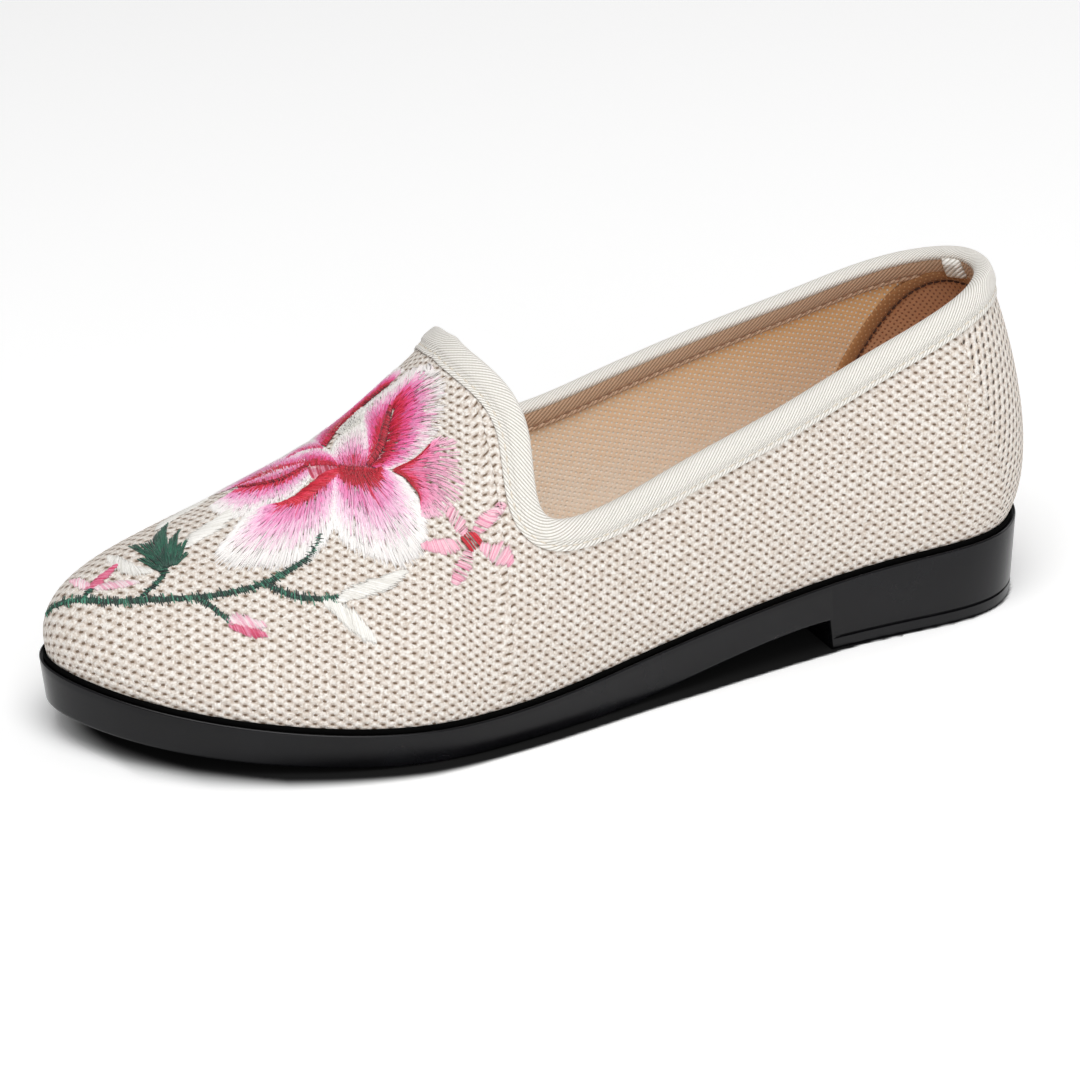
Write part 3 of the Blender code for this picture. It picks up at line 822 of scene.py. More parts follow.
def build_lining():
    rows = np.linspace(0, 1, 60)
    front = lining_grids(np.linspace(HEEL_SEAM, 2.0, 260), rows, UPPER_WALL)
    back = lining_grids(np.linspace(0.0, HEEL_SEAM, 24), rows, UPPER_WALL)
    points, faces, uv = join_grids(front[0] + back[0], (False, True) * 2, front[1] + back[1])
    return make_piece("lining", points, faces, LINING, uv)


build_lining()

# %% [markdown]
# # The binding
#
# A folded tape covers the raw edge. Seen from outside it has two parts: the rounded fold, about
# 4 mm high and padded by the edge inside it, and a flat strip under it, where the stitch line runs.
# Its section is carried round the opening. At each place, the section is drawn in two directions:
# out of the skin and away from the edge, walked over the skin, so that the tape hugs the shoe.


# %% Walk over the skin
def down_the_skin(turn, share, away, distance, steps=4):
    """Turn and share after a walk over the skin, in short steps along the direction away."""
    for _ in range(steps):
        along, up = slopes(turn, share)
        flat = np.stack([along, up], axis=-1)
        move = np.einsum("...ij,...j->...i", np.linalg.pinv(flat), away * distance / steps)
        turn, share = turn + move[..., 0], share + move[..., 1]
    return turn, share


def opening(count):
    """Turn, share, edge point, normal and direction away from the edge, all round the opening."""
    at = np.linspace(0, 1, EDGE_POINTS)
    half = np.linspace(0, 1, count // 2 + 1)
    found = []
    for side in (1, -1):
        found.append(between(half, at, EDGES[side]) * (side, 1))
    line = np.vstack([found[0], found[1][-2:0:-1]])
    turn, share = line.T
    place = skin(turn, share)
    run = unit(np.roll(place, -1, axis=0) - np.roll(place, 1, axis=0))
    out = normal(turn, share)
    return turn, share, place, out, unit(np.cross(out, run))


# %% Section of the tape
EDGE_TURN, EDGE_SHARE, EDGE_POINT, EDGE_OUT, EDGE_AWAY = opening(720)
EDGE_RUN = run_along(np.vstack([EDGE_POINT, EDGE_POINT[:1]]))


def tape_leg(drops, heights):
    """Points of the tape at distances from the edge and heights over the skin."""
    rows = []
    for drop, height in zip(drops, heights):
        at = down_the_skin(EDGE_TURN, EDGE_SHARE, EDGE_AWAY, drop)
        rows.append(skin(*at) + normal(*at) * height)
    return np.array(rows)


def fold(angles_deg, radius, lift):
    """Points of the rounded fold: an ellipse about the middle of the wall's edge."""
    middle = EDGE_POINT - EDGE_OUT * UPPER_WALL / 2
    rows = []
    for angle in np.radians(angles_deg):
        rows.append(middle + EDGE_OUT * radius * np.cos(angle) - EDGE_AWAY * lift * np.sin(angle))
    return np.array(rows)


def tape_piece(name, rows, material):
    """Closes the rows into a ring round the opening. UV is millimetres round and across."""
    grid = np.concatenate([rows, rows[:, :1]], axis=1)
    wide = run_along(grid[:, 0])
    uv = np.stack(np.broadcast_arrays(EDGE_RUN[None, :], wide[:, None]), axis=-1) / MM
    return make_piece(name, grid, quads(*grid.shape[:2]), material, uv)


# drop from the edge and height over the skin in mm, with the stitch groove at 4.95 and at 4.8
OUTER_LEG = [(6.2, 0.15), (6.2, 0.55), (6.1, 0.68), (5.9, 0.75), (5.5, 0.76), (5.15, 0.58)]
OUTER_LEG += [(4.95, 0.42), (4.8, 0.62), (4.5, 0.78), (4.1, 0.8), (3.9, 0.95), (3.75, 1.15)]
OUTER_LEG += [(3.4, 1.32), (2.8, 1.42), (2.0, 1.45), (1.2, 1.42), (0.5, 1.36), (0.0, 1.3)]
TURNED_END = [(0.0, 1.3), (0.3, 1.3), (0.6, 1.2), (0.8, 1.0), (0.9, 0.6)]
INNER_LEG = [(0.2, 0.95), (0.5, 1.1), (1.0, 1.2), (1.8, 1.22), (2.6, 1.18), (3.4, 1.1), (4.2, 1.0)]
INNER_LEG += [
    (4.6, 0.85), (4.8, 0.62), (5.0, 0.85), (5.3, 0.95), (5.8, 0.9), (6.1, 0.7), (6.2, 0.15)
]
FOLD_RISE = 1.3 * MM


def build_binding():
    """The ivory tape goes up the outside, over the edge and a little way down. The leg inside is
    drawn in a darker tan copy of the twill."""
    drops, rise = np.array(OUTER_LEG).T * MM
    outer = tape_leg(drops, rise)
    over = fold(np.linspace(12, 168, 14), FOLD_RISE + UPPER_WALL / 2, 1.25 * MM)
    drops, rise = np.array(TURNED_END).T * MM
    turned = tape_leg(drops, -(rise + UPPER_WALL))
    ivory = tape_piece("collar_tape_outer", np.concatenate([outer, over, turned]), TAPE_IVORY)
    drops, rise = np.array(INNER_LEG).T * MM
    leg = tape_leg(drops, -(rise + UPPER_WALL))
    tape_piece("collar_tape_inner", leg, TAPE_INNER_LEG)
    return ivory


collar_tape = build_binding()
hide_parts("collar_binding")

# %% [markdown]
# # The moulded sole
#
# The unit sole is one rubber moulding. Its side is a stack of rings, each one the outline moved in
# by a draft and raised to its own height. The rings carry the land under the cloth, the rounded
# edges and, at the heel only, the groove over the top piece. The breast of the heel is where two
# neighbouring ribs stand close together, one on the floor and one at the arch.

# %% Sole sizes
SIDE_DRAFT, TOE_DRAFT = 0.8 * MM, 1.4 * MM
EDGE_ROUND = 0.8 * MM
LIFT_HEIGHT, GROOVE_WIDTH, GROOVE_DEPTH = 3.4 * MM, 0.7 * MM, 0.6 * MM
BREAST_RAKE = 1.2 * MM
INSOLE_THICKNESS, INSOLE_ROUND = 4.2 * MM, 1.0 * MM
FOOTBED_DISH, FOOTBED_CELL = 0.9 * MM, 1.0 * MM
WAVE_HEIGHT, WAVE_LENGTH, TREAD_PITCH, TREAD_DEPTH = 1.2 * MM, 9 * MM, 5 * MM, 0.4 * MM
# stations along the sole, and the share of the tread's depth there
TREAD_ZONES = [0, 0.03, 0.05, 0.22, 0.235, 0.5, 0.53, 0.93, 0.96, 1], [0, 0, 1, 1, 0, 0, 1, 1, 0, 0]
HEEL_ROWS, FRONT_ROWS = 90, 230
LAND_EDGE, LAND_DIP = 0.45 * MM, 0.5 * MM


def ring_at(turns, inset, height):
    """The outline moved in by inset at a height, from the back round the outer side and home."""
    inset, height = np.broadcast_to(inset, turns.shape), np.broadcast_to(height, turns.shape)
    halves = []
    for side in (1, -1):
        rows = edge(turns if side > 0 else np.minimum(-turns, -1e-9))
        block = np.column_stack([rows[:, :2] - rows[:, 5:7] * inset[:, None], height])
        halves.append(block if side > 0 else block[-2::-1])
    return np.vstack(halves)


def across(turns, inset, height, count):
    """Grid from the inner to the outer side of a ring: rows at equal turns, columns across."""
    inset, height = np.broadcast_to(inset, turns.shape), np.broadcast_to(height, turns.shape)
    sides = []
    for side in (-1, 1):
        rows = edge(turns if side > 0 else np.minimum(-turns, -1e-9))
        sides.append(np.column_stack([rows[:, :2] - rows[:, 5:7] * inset[:, None], height]))
    share = np.linspace(0, 1, count)[None, :, None]
    return sides[0][:, None] * (1 - share) + sides[1][:, None] * share


# %% Rings of the side, and the tread
def heel_and_front(heel_count, front_count):
    """Turns of the heel's rows and of the rows in front of its breast, and which are the heel's."""
    breast = BREAST_STATION + BREAST_RAKE / SOLE_LENGTH
    heel = np.linspace(0, 1, heel_count) * turn_at(BREAST_STATION)
    front = np.linspace(turn_at(breast), 1, front_count)
    return np.concatenate([heel, front]), np.arange(heel_count + front_count) < heel_count


def tread_relief(bottom, station):
    """Wavy grooves 0.4 mm deep across the heel and the forepart, which fade out at the edges.
    Their lines are x + 1.2 mm * sin(y over 9 mm) = 0, 5 mm, 10 mm and so on."""
    wave = bottom[..., 0] + WAVE_HEIGHT * np.sin(TURN * bottom[..., 1] / WAVE_LENGTH)
    groove = smoothstep(0.55, 0.95, np.cos(TURN * wave / TREAD_PITCH))
    side = np.abs(np.linspace(-1, 1, bottom.shape[1]))[None, :]
    share = np.interp(station, *TREAD_ZONES)
    bottom[..., 2] += TREAD_DEPTH * groove * smoothstep(0.9, 0.84, side) * share[:, None]
    return bottom


def build_outsole():
    """A side of rings from the floor up to the cup, the tread below and the cup's floor. The side
    leans in towards the floor by the draft."""
    turns, heel = heel_and_front(HEEL_ROWS, FRONT_ROWS)
    station = station_at(turns)
    rim, tread = rim_height(station), np.where(heel, 0.0, tread_height(station))
    land = rim - RIM_STEP
    draft = SIDE_DRAFT + TOE_DRAFT * np.clip((station - TREAD_END) / (1 - TREAD_END), 0, 1)
    low, high = tread + EDGE_ROUND, land - EDGE_ROUND / 2
    grooved = heel & (np.arange(len(turns)) < HEEL_ROWS - 1)

    def lean(height):
        return draft * (high - height) / high

    def side_row(share, groove, deeper=0.0):
        height = np.where(heel, LIFT_HEIGHT + groove * GROOVE_WIDTH / 2, low + (high - low) * share)
        return lean(height) + np.where(grooved, deeper, 0.0), height

    rounding = np.radians([90, 68, 45, 22, 0])
    foot = lean(low)
    rings = [(foot + EDGE_ROUND * (1 - np.cos(a)), low - EDGE_ROUND * np.sin(a)) for a in rounding]
    steps = [(0.1, -1.6, 0), (0.2, -1.15, 0), (0.28, -0.9, 0.35), (0.36, -0.6, 0.85), (0.44, 0, 1)]
    steps += [(0.52, 0.6, 0.85), (0.6, 0.9, 0.35), (0.7, 1.15, 0), (0.8, 1.8, 0)]
    rings += [side_row(share, groove, depth * GROOVE_DEPTH) for share, groove, depth in steps]
    arc = EDGE_ROUND / 2
    rings += [(arc * (1 - np.cos(a)), high + arc * np.sin(a)) for a in np.radians([0, 30, 60, 90])]
    rings += [(inset, land - LAND_DIP) for inset in (LAND_EDGE, RIM_WIDTH - 0.2 * MM, RIM_WIDTH)]
    rings.append((RIM_WIDTH, rim - CUP_DEPTH))
    side = np.array([ring_at(turns, inset, height) for inset, height in rings])
    bottom = tread_relief(across(turns, foot + EDGE_ROUND, tread, 81), station)
    cup = across(turns, RIM_WIDTH, rim - CUP_DEPTH, 31)
    points, faces, uv = join_grids([side, bottom, cup], (False, True, False))
    piece = make_piece("outsole_moulding", points, faces, RUBBER, uv)
    piece.data.set_sharp_from_angle(angle=math.radians(35))
    return piece


outsole = build_outsole()
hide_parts("outsole")


# %% Dark line under the cloth, painted shade of the groove
# Painted shade: matt black for the groove between the sole's land and the cloth.
GROOVE_SHADE_BLACK = start_material(
    "groove_painted_shade_black_matt", Roughness=0.9, Specular_IOR_Level=0.03, Base_Color=linear("#060606")
)[0]


def build_rim_line():
    """Matt black bead in the corner between the land and the cloth, 1.5 mm high, that stands in for
    the shade in that groove. The section is a list of insets from the outline and heights over the
    rim, in mm."""
    turns = np.linspace(0, 1, 320)
    rim = rim_height(station_at(turns))
    section = [(1.35, -1.3), (0.95, -1.3), (0.85, -0.9), (0.88, -0.2), (1.02, 0.08), (1.2, 0.18)]
    section.append((1.5, 0.12))
    grid = np.array([ring_at(turns, a * MM, rim + b * MM) for a, b in section])
    return make_piece("rim_groove_painted_shade", grid, quads(*grid.shape[:2]), GROOVE_SHADE_BLACK)


build_rim_line()


# %% Footbed
def build_footbed():
    """Cloth-covered board and foam in the cup, with a rounded upper edge and a slight dish."""
    turns = np.linspace(0, 1, 140)
    floor = rim_height(station_at(turns)) - CUP_DEPTH + PIECE_GAP
    inset = RIM_WIDTH + UPPER_WALL + 2 * PIECE_GAP
    top = floor + INSOLE_THICKNESS
    rings = [(inset, floor)]
    for angle in np.radians([0, 30, 60, 90]):
        shift = INSOLE_ROUND * (1 - np.cos(angle)), INSOLE_ROUND * (1 - np.sin(angle))
        rings.append((inset + shift[0], top - shift[1]))
    side = np.array([ring_at(turns, a, b) for a, b in rings])
    cover = across(turns, inset + INSOLE_ROUND, top, 61)
    below = across(turns, inset, floor, 21)
    share = np.linspace(-1, 1, 61)[None, :]
    along = np.sin(np.pi * np.linspace(0, 1, 140))[:, None] ** 0.5
    cover[..., 2] -= FOOTBED_DISH * (1 - share**2) ** 2 * along
    grids = (side, cover, below)
    uvs = [grid[..., :2] / FOOTBED_CELL for grid in grids]
    points, faces, uv = join_grids(grids, (False, False, True), uvs)
    return make_piece("footbed_cover", points, faces, FOOTBED, uv)


footbed = build_footbed()
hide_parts("insole")

# %% [markdown]
# # The embroidery
#
# The spray is a traditional peony with a leafy stem, worked in silk floss in long-and-short
# stitch. It could be painted on as a texture, but thread stands proud of the cloth and shines
# along its run, so every stitch is a small mesh: a half-round strip that dips into the cloth at
# both ends. The spray is drawn in the flat sheet, in millimetres from the throat (towards the toe,
# and to the side), and a lookup of the sheet's points lays each stitch on the last.


# %% From the flat sheet to the vamp
def vamp_lookup(bin_size=0.5 * MM):
    """Sheet places, points, normals and step directions of a dense grid, with a table of bins."""
    found = []
    for side in (1, -1):
        points, out, flat = cloth_grid(side, np.linspace(0.6, 2, 500), np.linspace(0, 1, 220))
        steps = [np.gradient(values, axis=k) for values in (flat, points) for k in (0, 1)]
        sheet = np.stack(steps[:2], axis=-1)
        solid = np.stack(steps[2:], axis=-1)
        slope = solid @ np.linalg.pinv(sheet)
        found.append([v.reshape(len(v) * v.shape[1], -1) for v in (flat, points, out, slope)])
    flat, points, out, slope = (np.vstack(pair) for pair in zip(*found))
    low = flat.min(axis=0) - bin_size
    cell = ((flat - low) / bin_size).astype(int)
    table = np.full(cell.max(axis=0) + 3, -1)
    table[cell[:, 0], cell[:, 1]] = np.arange(len(flat))
    return flat, points, out, slope.reshape(-1, 3, 2), low, table, bin_size


VAMP = vamp_lookup()


def on_vamp(places_mm):
    """Points and normals on the vamp for sheet places, and whether the sheet reaches there."""
    flat, points, out, slope, low, table, bin_size = VAMP
    places = np.asarray(places_mm) * MM
    cell = np.clip(((places - low) / bin_size).astype(int), 0, np.array(table.shape) - 1)
    near = table[cell[..., 0], cell[..., 1]]
    off = places - flat[near]
    return points[near] + np.einsum("...ij,...j->...i", slope[near], off), out[near], near >= 0


# %% [markdown]
# ## Stitches
#
# A stitch is a line of five places with three points across each, left, top and right. It is
# widest in the middle and comes to a point at both ends. Stitches are gathered as starts, ends,
# widths, heights and dyes, and turned into one mesh at the end.


# %% Stitch store and mesh
RANDOM = np.random.default_rng(1207)
FLOSS_WIDTH = 0.33
STITCHES = []


def lay(starts, ends, width, height, dye):
    """Keeps stitches from starts to ends in mm."""
    starts, ends = np.atleast_2d(starts).astype(float), np.atleast_2d(ends).astype(float)
    count = len(starts)
    single = [np.broadcast_to(value, count) for value in (width, height)]
    STITCHES.append(np.column_stack([starts, ends, *single, np.broadcast_to(dye, (count, 3))]))


def stitch_mesh(name, rows):
    """Stitches laid on the vamp. A stitch is start + s run for shares s of its run, and it rises to
    its height in the middle. One that leaves the vamp is left out."""
    share = np.array([0.0, 0.14, 0.5, 0.86, 1.0])
    start, end, width, height, dye = np.split(rows, [2, 4, 5, 6], axis=1)
    run = end - start
    side = unit(np.stack([-run[:, 1], run[:, 0]], axis=-1) + 1e-9)
    line = start[:, None] + run[:, None] * share[None, :, None]
    half = width * np.array([[0.0, 0.85, 1.0, 0.85, 0.0]]) / 2
    rise = np.array([[-0.25, 0.6, 1.0, 0.6, -0.25]]) * height
    shift = half[..., None] * np.array([1, 0, -1])
    places = line[:, :, None] + side[:, None, None] * shift[..., None]
    points, out, inside = on_vamp(places)
    lift = rise[..., None] - np.array([0.16, 0.0, 0.16]) * (half[..., None] > 0)
    points = points + out * (lift * MM)[..., None]
    good = inside.all(axis=(1, 2))
    points, dye = points[good], dye[good]
    per_stitch = 3 * len(share)
    first = per_stitch * np.arange(len(points))[:, None, None, None]
    step = 3 * np.arange(len(share) - 1)[:, None, None]
    turn = np.array([[3, 4, 1, 0], [4, 5, 2, 1], [5, 3, 0, 2]])
    faces = (first + step + turn).reshape(-1, 4)
    dyes = np.repeat(dye, per_stitch, axis=0)
    return make_piece(name, points, faces, FLOSS, colours=dyes)


# %% [markdown]
# ## Petals
#
# A petal is a fan between two lines, its core and its rim. Bands of stitches run from the core
# outwards, each band overlapping the last with ragged ends, and the dye changes from crimson at
# the core through pink to white at the rim, as it does in shaded silk.


# %% Fans of long-and-short stitch
def smooth_line(points, count):
    """Places at equal distances along the smooth line through control points."""
    points = np.asarray(points, float)
    knots = run_along(points)
    dense = spline(np.linspace(0, knots[-1], 400), knots, points)
    run = run_along(dense)
    at = np.linspace(0, run[-1], count)
    return between(at, run, dense)


def dye_at(share, palette, scatter):
    """Dyes between the palette's, by shares from 0 to 1 with a seeded scatter."""
    stops = np.array([linear(colour)[:3] for _, colour in palette])
    at = np.array([place for place, _ in palette])
    share = np.clip(share + RANDOM.normal(0, scatter, np.shape(share)), 0, 1)
    return between(share, at, stops)


PEONY = [
    (0.0, "#A60C26"), (0.12, "#D01732"), (0.2, "#E23A5E"), (0.27, "#F07DB6"), (0.38, "#F5A6D2")
]
PEONY += [(0.52, "#F9C9E3"), (0.66, "#FBE2ED"), (0.78, "#F9F4F2"), (1.0, "#FAF8F5")]
HOT = [(0.0, "#A60C26"), (0.15, "#CA1434"), (0.26, "#E23468"), (0.42, "#EF68AA"), (0.56, "#F49ECB")]
HOT += [(0.7, "#F9CFE1"), (0.82, "#F7EFEE"), (1.0, "#F8F6F2")]
PALE = [
    (0.0, "#C01B3A"), (0.1, "#E03A64"), (0.2, "#F080B4"), (0.38, "#F6B4D6"), (0.56, "#F9DEE9"),
    (0.78, "#F7F1EE"), (1.0, "#F9F7F3"),
]
ROSE = [
    (0.0, "#B81030"), (0.15, "#DA2648"), (0.22, "#EC5C8C"), (0.36, "#F38FBA"), (0.66, "#F7B8D2"),
    (1.0, "#FAD6E2"),
]
WHITES = [(0.0, "#E4E1DA"), (1.0, "#FAF8F4")]
BANDS = ((0.0, 0.34), (0.2, 0.52), (0.38, 0.7), (0.55, 0.86), (0.72, 1.0))


def fan(core, rim, palette=PEONY, bands=BANDS, gap=0.215, lift=0.3, ragged=0.12):
    """Bands of stitches between two lines. Every band has as many as fit its own length."""
    core, rim = smooth_line(core, 300), smooth_line(rim, 300)
    for number, (first, last) in enumerate(bands[::-1]):
        middle = core + (rim - core) * (first + last) / 2
        count = max(3, int(run_along(middle)[-1] / gap))
        at = np.clip((np.arange(count) + RANDOM.uniform(0.2, 0.8, count)) / count, 0, 1)
        a, b = (between(at * 299, np.arange(300), line) for line in (core, rim))
        start = first + RANDOM.uniform(-ragged, ragged, count)
        end = last + RANDOM.uniform(-1, 0.6, count) * ragged * (1.0 if last < 1 else 0.5)
        start = np.maximum(start, 0.0)
        height = lift + 0.07 * number + RANDOM.uniform(0, 0.06, count)
        dye = dye_at((start + end) / 2 * 1.02, palette, 0.05)
        dye = dye * np.where(RANDOM.uniform(0, 1, count) < 0.08, 0.85, 1.0)[:, None]
        lay(a + (b - a) * start[:, None], a + (b - a) * end[:, None], FLOSS_WIDTH, height, dye)


def satin(path, widths, palette, slant=0.6, gap=0.28, lift=0.4, ragged=0.12, scatter=0.3):
    """Stitches side by side across a path, as on stems, veins and small leaves. The slant is how
    far the far end of each stitch runs ahead, as a share of its width."""
    length = run_along(np.asarray(path, float))[-1]
    count = max(4, int(length / gap))
    line = smooth_line(path, count)
    run = unit(np.gradient(line, axis=0))
    side = np.stack([-run[:, 1], run[:, 0]], axis=-1)
    wide = np.interp(np.linspace(0, 1, count), np.linspace(0, 1, len(widths)), widths) / 2
    reach = (side + run * slant) * wide[:, None]
    wobble = 1 + RANDOM.uniform(-ragged, ragged, (2, count, 1)) * 2
    dye = dye_at(RANDOM.uniform(0, 1, count), palette, scatter)
    height = lift + RANDOM.uniform(0, 0.12, count)
    lay(line - reach * wobble[0], line + reach * wobble[1], FLOSS_WIDTH, height, dye)


# %% The peony
PETALS = [
    # the far side, hidden in the photograph
    (
        [(52.5, 1), (57, 4), (61, 6), (65, 8)],
        [(47, 10), (50, 18), (57, 23), (66, 21), (73, 14)],
        PEONY,
    ),
    (
        [(43, 3), (38, 7), (32, 10), (26, 11), (20, 9)],
        [(45, 10), (43, 19), (36, 25), (27, 26), (18, 22), (12, 14), (13, 7)],
        HOT,
    ),
    ([(44, 2), (46, 6), (49, 9), (52, 9)], [(43, 12), (45, 18), (50, 19), (53, 14)], PALE),
    # left, with its folded edge above the dark line
    (
        [(50.6, -0.5), (53.7, -0.4), (57.2, 0), (60.7, 2), (63.7, 4.4), (66.6, 7.2)],
        [
            (51.7, -6.1), (56.6, -7.9), (61.2, -8.6), (66.6, -7.4), (71.8, -5.4), (75, -1.2),
            (75.4, 5.4),
        ],
        PEONY,
    ),
    (
        [(66.6, 7.4), (62.7, 4.2), (58.6, 1), (54, 0), (50.6, 0)],
        [(67, 11), (62, 12), (57, 10.6), (52.4, 7.4), (48.4, 4.6)],
        PALE,
    ),
    # right, lower left and large lower
    (
        [
            (23.9, -20.8), (26.7, -21.2), (30, -21), (32.5, -20), (35.2, -18.9), (34.3, -22.3),
            (34.3, -25.7), (34.3, -28.5), (34.9, -30.6),
        ],
        [
            (22.2, -20), (18.4, -20.4), (16.4, -23.2), (18.5, -27.4), (21.1, -32.2), (25, -35.9),
            (29.8, -37.6), (34.3, -37.3), (38.1, -34.6),
        ],
        ROSE,
    ),
    (
        [(45.6, -7.6), (49.4, -7.5), (53.9, -8.1), (58.6, -8.5), (62.4, -7.9)],
        [
            (48.4, -14), (51.6, -19.2), (56.4, -23.7), (62.3, -26.5), (67.6, -26.6), (72.6, -24.1),
            (76.8, -21), (80.6, -17.8), (82.8, -13.6), (80, -10.2), (76, -8.1), (72.4, -6.1),
            (68.6, -4.6), (65.1, -5.6),
        ],
        PEONY,
    ),
    (
        [(44.6, -7.7), (43.2, -9.8), (40.8, -12.2), (38.9, -14.3), (36.4, -16.1)],
        [
            (50, -13.4), (53.9, -19.4), (56.3, -25.1), (56.2, -30.1), (54, -35), (50.4, -40),
            (46.1, -42.8), (41.7, -41.7), (37.7, -37.2), (35.4, -31.7), (34.5, -26.2),
            (34.6, -20.7), (36, -17.6),
        ],
        PEONY,
    ),
    # upper right round its vein, then the small inner petals
    (
        [
            (38.7, -12.6), (36.1, -12.2), (32.8, -10.6), (30.1, -8), (27.5, -5.2), (25.1, -3.2),
            (23.6, -1.2), (24.7, -3.6), (27.4, -6), (30, -8.8), (32.7, -11.3), (35.6, -13.2),
            (38.5, -13.6),
        ],
        [
            (33.5, -7), (32.4, -1.2), (30.5, 5.1), (27.5, 10.4), (23.9, 10.4), (19.3, 8),
            (14.2, 6.2), (8.2, 0.6), (6.6, -4.8), (9.6, -10.6), (14.2, -15.5), (18.9, -19),
            (23.2, -21), (27.2, -22), (30.8, -21.6), (33.7, -19.7), (36, -17.5),
        ],
        HOT,
    ),
    (
        [(37.7, 2.4), (35.6, 2), (32.9, 1.6), (30.7, 2)],
        [(38.6, 8), (35.6, 13), (31.8, 14.6), (28.8, 12.4), (28.3, 7.3)],
        WHITES,
    ),
    (
        [(44.6, -7.9), (46.7, -5), (49.5, -1.9), (52.2, 1.4), (54.4, 4.8)],
        [(42.8, -1.9), (43.4, 4), (44.9, 8.4), (48.2, 9.4), (51.5, 10.2), (54.9, 9)],
        HOT,
    ),
    (
        [(44.4, -7.8), (42.2, -10), (40.5, -12.2), (37.2, -13.2)],
        [
            (43.9, -2), (41.5, 1.8), (38.2, 4.4), (34, 4.9), (30.8, 2.4), (31, -4.6), (32.6, -9.3),
            (35.2, -12.5),
        ],
        PALE,
    ),
]
GROUND = [(0.0, "#C8304E"), (0.5, "#E0607F"), (1.0, "#F0A0B8")]
satin(
    [(33, -15), (38, -12.5), (43, -9), (48, -5.5), (53, -2.5), (57, -3)],
    [4, 8, 9, 9, 8, 3], GROUND, 0.4, lift=0.14,
)
for core, rim, palette in PETALS:
    fan(core, rim, palette)
LARGE_PETAL, RIGHT_PETAL = 7, 5
BRIGHT = [(0.0, "#B8142C"), (0.5, "#D6203A"), (1.0, "#EA4560")]
for number, red in ((LARGE_PETAL, 0.24), (RIGHT_PETAL, 0.16)):
    fan(
        *PETALS[number][:2], BRIGHT, bands=((0.0, red * 0.6), (red * 0.3, red)), lift=0.8,
        ragged=0.04,
    )
CRIMSON = [(0.0, "#7A0A20"), (0.5, "#A81229"), (1.0, "#D42A46")]
# path, widths, dyes, slant, gap and lift of each, in the order of sewing
VEINS = [
    (
        [(23.8, -1.6), (27.2, -5), (30.4, -8.3), (34, -11.2), (38.4, -13)],
        [1.2, 2.2, 2.6, 2.4, 1.8], CRIMSON, -0.5, 0.13, 0.95,
    ),
    (
        [(45.8, -8.4), (49.6, -9.0), (54, -9.8), (58.4, -9.8), (62.8, -8)],
        [4.2, 4.6, 4.2, 3.0, 0.8], BRIGHT, 0.9, 0.13, 0.85,
    ),
    (
        [(51, -0.4), (56.2, -0.3), (60.1, 1.4), (63.3, 3.9), (66.8, 7.2)],
        [1.4, 1.2, 1.0, 0.8, 0.4], CRIMSON, 0.9, 0.22, 0.8,
    ),
    (
        [(43, 3), (38, 7.2), (32, 10.2), (26, 11.2), (20, 9)],
        [0.5, 1, 1.3, 1.1, 0.4], CRIMSON, 0.9, 0.28, 0.7,
    ),
    (
        [(38.4, -15.2), (40.8, -12.8), (43.4, -10), (44.6, -8)],
        [1.2, 2.2, 2.2, 1.4], CRIMSON, 0.2, 0.2, 0.95,
    ),
]
for line in VEINS:
    satin(*line)

PETAL_STITCHES = np.vstack(STITCHES)
STITCHES.clear()

# %% Stem, leaves and buds
JAGGED = {"slant": 0.35, "gap": 0.44, "ragged": 0.42, "lift": 0.42}
GREENS = [(0.0, "#0C241E"), (0.5, "#163C31"), (0.8, "#225C48"), (1.0, "#4A957A")]
STEMS = [
    (
        [
            (115.5, 4), (112, 0.6), (108.9, -3), (105.6, -7.1), (100.5, -11.6), (95.3, -15.5),
            (90.5, -18.8), (83.7, -22.4), (76.8, -24.9), (71.5, -25.6), (66.8, -25.7),
            (62.8, -24.8), (59.2, -22.4),
        ],
        [1.6, 1.9, 2.1, 2.1, 2.1, 2.0, 1.8],
    ),
    ([(90.3, -19.2), (89.4, -22.2), (88.8, -25), (88.2, -27.8)], [1.6, 1.8, 1.4]),
    ([(76.6, -25.3), (74.7, -29.1), (72.3, -32.6), (69.1, -35.4), (65.3, -38)], [1.8, 2.2, 2.0]),
    ([(100, -11.4), (97.1, -10.9), (94.2, -10.2), (91.6, -8.0)], [1.2, 1.4, 2.0]),
    ([(108.5, -3.2), (106.9, -2.8), (105.7, -2.3)], [1.2, 1.6]),
]
for path, widths in STEMS:
    satin(path, np.array(widths) * 0.72, GREENS, 0.15, gap=0.2, lift=0.3)
    satin(path, widths, GREENS, **JAGGED)
LEAF_BANDS = ((0.0, 0.45), (0.3, 0.75), (0.55, 1.0))
LEAF = [(0.0, "#11332A"), (0.4, "#1E5846"), (0.8, "#2B6C55"), (1.0, "#102C25")]
LEAF_TIPS = [
    (94.2, -6.4), (95.6, -1.6), (92.4, -3.4), (92.6, -0.6), (95.4, 5.2), (91.6, 2.6), (90, 3.4),
    (84, 9.8), (87.4, 1.6), (86.9, -0.4), (83.8, 2.0), (86.6, -3.4), (83.4, -3.2), (86.6, -6.4),
    (85.4, -7.6), (88.6, -8.6),
]


